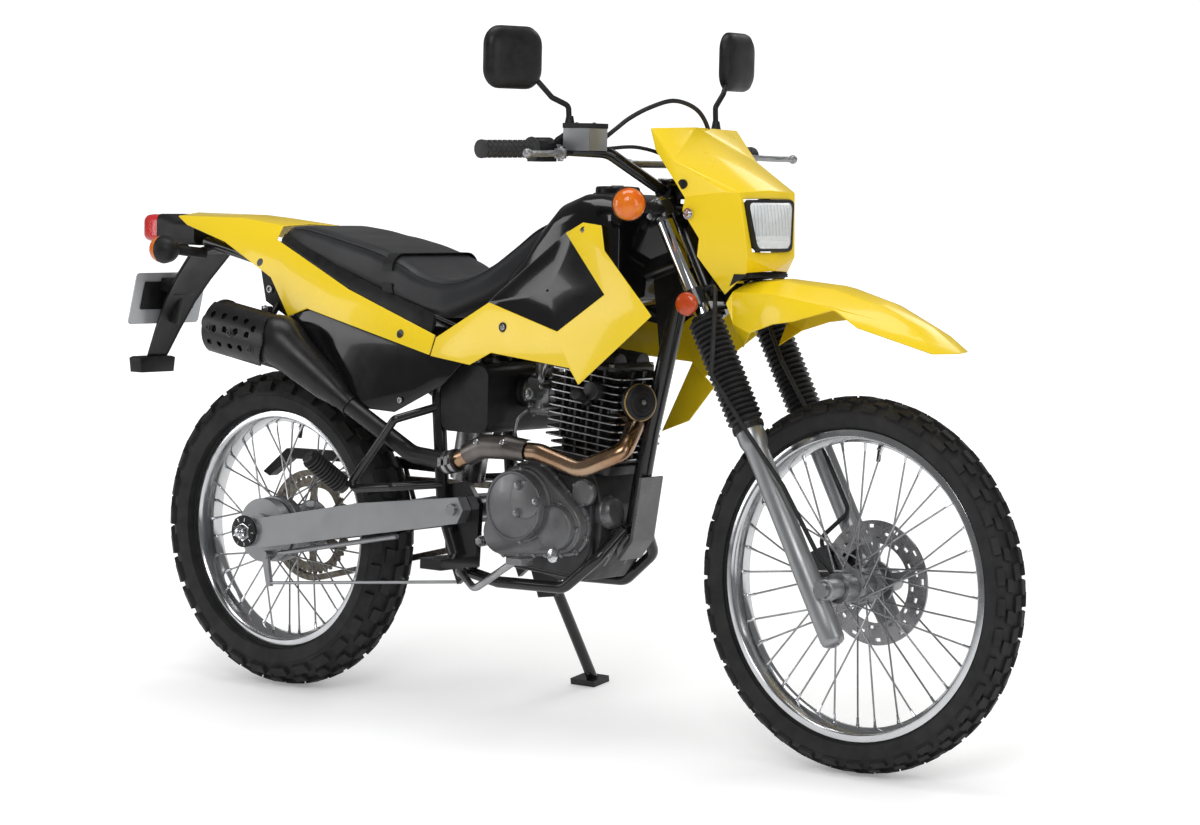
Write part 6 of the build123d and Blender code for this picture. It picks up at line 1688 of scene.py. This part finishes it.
# The shield is a grid of cells over part of the can: millimetres along it and degrees round it
SHIELD_ALONG, SHIELD_ROUND = (6.0, 176.0, 60), (-60.0, 62.0, 44)
SHIELD_IN, SHIELD_OUT = 56.0, 57.8
SHIELD_HOLES = [
    (26, 30), (54, 33), (84, 34), (114, 35), (40, 2), (68, 6), (98, 8), (128, 9), (26, -27), (54, -26), (84, -24),
    (112, -22), (140, 24),
]
HOLE_R = 6.2


def muffler_shield():
    up = (UP - MUFFLER_RUN * UP.dot(MUFFLER_RUN)).normalized()
    out = MUFFLER_RUN.cross(up)
    out = -out if out.y > 0 else out

    def at(s, turn, r):
        a = math.radians(turn)
        return MUFFLER_END + MUFFLER_RUN * s + (out * math.cos(a) + up * math.sin(a)) * r

    def step(span, i):
        low, high, count = span
        return low + (high - low) * i / count

    def is_metal(s, turn):
        across = math.radians(turn) * 57
        if abs(across) - 40 + max(0.0, s - 150) * 1.2 > 20 or s - 148 > 26 - abs(across - 2) * 0.35:
            return False
        return all(math.hypot(s - x, across - math.radians(t) * 57) >= HOLE_R for x, t in SHIELD_HOLES)

    cells = [
        (i, j) for i in range(SHIELD_ALONG[2]) for j in range(SHIELD_ROUND[2])
        if is_metal(step(SHIELD_ALONG, i + 0.5), step(SHIELD_ROUND, j + 0.5))
    ]
    b = Build()
    verts = {}

    def vert(i, j, r):
        if (i, j, r) not in verts:
            verts[i, j, r] = b.bm.verts.new(at(step(SHIELD_ALONG, i), step(SHIELD_ROUND, j), r))
        return verts[i, j, r]

    filled = set(cells)
    for i, j in cells:
        corners = ((i, j), (i + 1, j), (i + 1, j + 1), (i, j + 1))
        b.skin([vert(*c, SHIELD_OUT) for c in corners])
        b.skin([vert(*c, SHIELD_IN) for c in reversed(corners)])
        for k, beside in enumerate(((i, j - 1), (i + 1, j), (i, j + 1), (i - 1, j))):
            if beside not in filled:
                c, d = corners[k], corners[(k + 1) % 4]
                b.skin([vert(*d, SHIELD_OUT), vert(*c, SHIELD_OUT), vert(*c, SHIELD_IN), vert(*d, SHIELD_IN)])

    def is_rim(v):
        return any(len({f.normal.to_tuple(1) for f in e.link_faces}) > 1 for e in v.link_edges)

    for _ in range(2):
        rims = [v for v in b.bm.verts if is_rim(v)]
        bmesh.ops.smooth_vert(b.bm, verts=rims, factor=0.35, use_axis_x=True, use_axis_y=True, use_axis_z=True)
    for s, turn in ((26, 2), (84, 3), (140, -18)):
        p, axis = at(s, turn, 57.6), at(0, turn, 1) - MUFFLER_END
        b.slot = 1
        b.lathe([(-8, 0), (-8, 6), (0, 9), (1.5, 9), (1.5, 0)], p, axis, 24)
        b.bolt(p + axis * 1.4, axis, 5.2, 3.2, "cap")
    b.done("muffler_shield", ROOT, ["muffler", "dark_case"], sharp=30, weld=False)


# ---------- Camera, light, floor ----------
CAMERA = dict(azimuth=38.989, elevation=4.228, roll=1.268)  # degrees
CAMERA_AIM, CAMERA_BACK = Vector((803.9, 0, 603.8)), 6393.8
SENSOR, FOCAL = 36, 3409.4 / 1200  # mm, and focal length in picture widths


def camera():
    az, el, roll = map(math.radians, CAMERA.values())
    back = Vector((math.sin(az) * math.cos(el), -math.cos(az) * math.cos(el), math.sin(el)))
    across = UP.cross(back).normalized()
    rise = back.cross(across)
    right = across * math.cos(roll) + rise * math.sin(roll)
    data = bpy.data.cameras.new("camera")
    data.sensor_width, data.lens, data.clip_end = SENSOR, FOCAL * SENSOR, 100
    obj = bpy.data.objects.new("camera", data)
    bpy.context.collection.objects.link(obj)
    turn = UPRIGHT.to_3x3().normalized()
    matrix = Matrix([turn @ axis for axis in (right, back.cross(right), back)]).transposed().to_4x4()
    matrix.translation = UPRIGHT @ (CAMERA_AIM + back * CAMERA_BACK)
    obj.matrix_world = matrix
    bpy.context.scene.camera = obj


# Name: place, aim in metres, width, height, power in watts
LIGHTS = {
    "key": ((2.4, -3.6, 4.0), (0.1, -0.1, 0.5), 2.2, 2.0, 70),
    "top": ((-0.2, 0.3, 4.4), (0, 0, 0.5), 3.0, 2.0, 62),
    "side": ((-3.4, -2.6, 1.8), (0, 0, 0.6), 1.4, 2.2, 26),
    "back": ((0.5, 4.0, 3.0), (0, 0, 0.6), 2.4, 1.6, 30),
    "front": ((4.2, -0.6, 1.6), (0.5, 0, 0.6), 1.4, 2.0, 20),
}
SKY_SEEN, SKY_IN_GLOSS, SKY_ELSE = 1.0, 0.16, 0.62
FLOOR_HALF, FLOOR_DROP = 30, -0.0005


def lights():
    for name, (at, aim, width, height, power) in LIGHTS.items():
        data = bpy.data.lights.new(name, "AREA")
        data.shape, data.size, data.size_y, data.energy = "RECTANGLE", width, height, power
        obj = bpy.data.objects.new(name, data)
        bpy.context.collection.objects.link(obj)
        obj.location = at
        obj.rotation_euler = (Vector(aim) - Vector(at)).to_track_quat("-Z", "Y").to_euler()


def studio():
    mesh = bpy.data.meshes.new("studio_floor")
    corners = [(x * FLOOR_HALF, y * FLOOR_HALF, FLOOR_DROP) for x, y in CORNERS]
    mesh.from_pydata(corners[2:] + corners[:2], [], [(0, 1, 2, 3)])
    mesh.materials.append(MAT["floor"])
    floor = bpy.data.objects.new("studio_floor", mesh)
    bpy.context.collection.objects.link(floor)
    world = bpy.data.worlds.new("studio")
    bpy.context.scene.world = world
    world.use_nodes = True
    nodes, link = world.node_tree.nodes, world.node_tree.links.new
    background = nodes["Background"]
    background.inputs["Color"].default_value = (1, 1, 1, 1)
    seen = nodes.new("ShaderNodeLightPath")
    dim, level = [nodes.new("ShaderNodeMapRange") for _ in range(2)]
    dim.inputs["To Min"].default_value = SKY_ELSE
    dim.inputs["To Max"].default_value = SKY_IN_GLOSS
    level.inputs["To Max"].default_value = SKY_SEEN
    link(seen.outputs["Is Glossy Ray"], dim.inputs["Value"])
    link(dim.outputs["Result"], level.inputs["To Min"])
    link(seen.outputs["Is Camera Ray"], level.inputs["Value"])
    link(level.outputs["Result"], background.inputs["Strength"])
    lights()
    bpy.context.scene.view_settings.view_transform = "Standard"


# ---------- Everything drawn, in order ----------
kept_nodes()
wheels()
leg_parts()
gaiters()
fork_top()
panel("cowl_shell", STEER, COWL, COWL_FACES, bevel=3.0, replaces=("headlamp_cowl",))
headlamp()
cowl_trim()
panel("fender_shell", STEER, FENDER, FENDER_FACES, bevel=3.2, replaces=("front_fender",))
fender_fixings()
shrouds()
tank()
seat()
seat_base()
panel("tail_shell", ROOT, TAIL, [f[::-1] for f in TAIL_FACES], bevel=2.6, replaces=("tail_cover",))
pair("side_cover", COVER, COVER_FACES, 2.2, ("side_covers",), "gloss")
tail_trim()
tail_lamp()
mudguard()
number_plate()
signals()
grips()
hand_controls()
bar_clamps()
cables()
adjusters()
peg_rubbers()
mirrors()
meter()
horn()
engine()
engine_right()
engine_left()
engine_mounts()
cylinder()
cylinder_head()
carburettor()
exhaust()
heat_shield()
muffler()
muffler_shield()
camera()
studio()
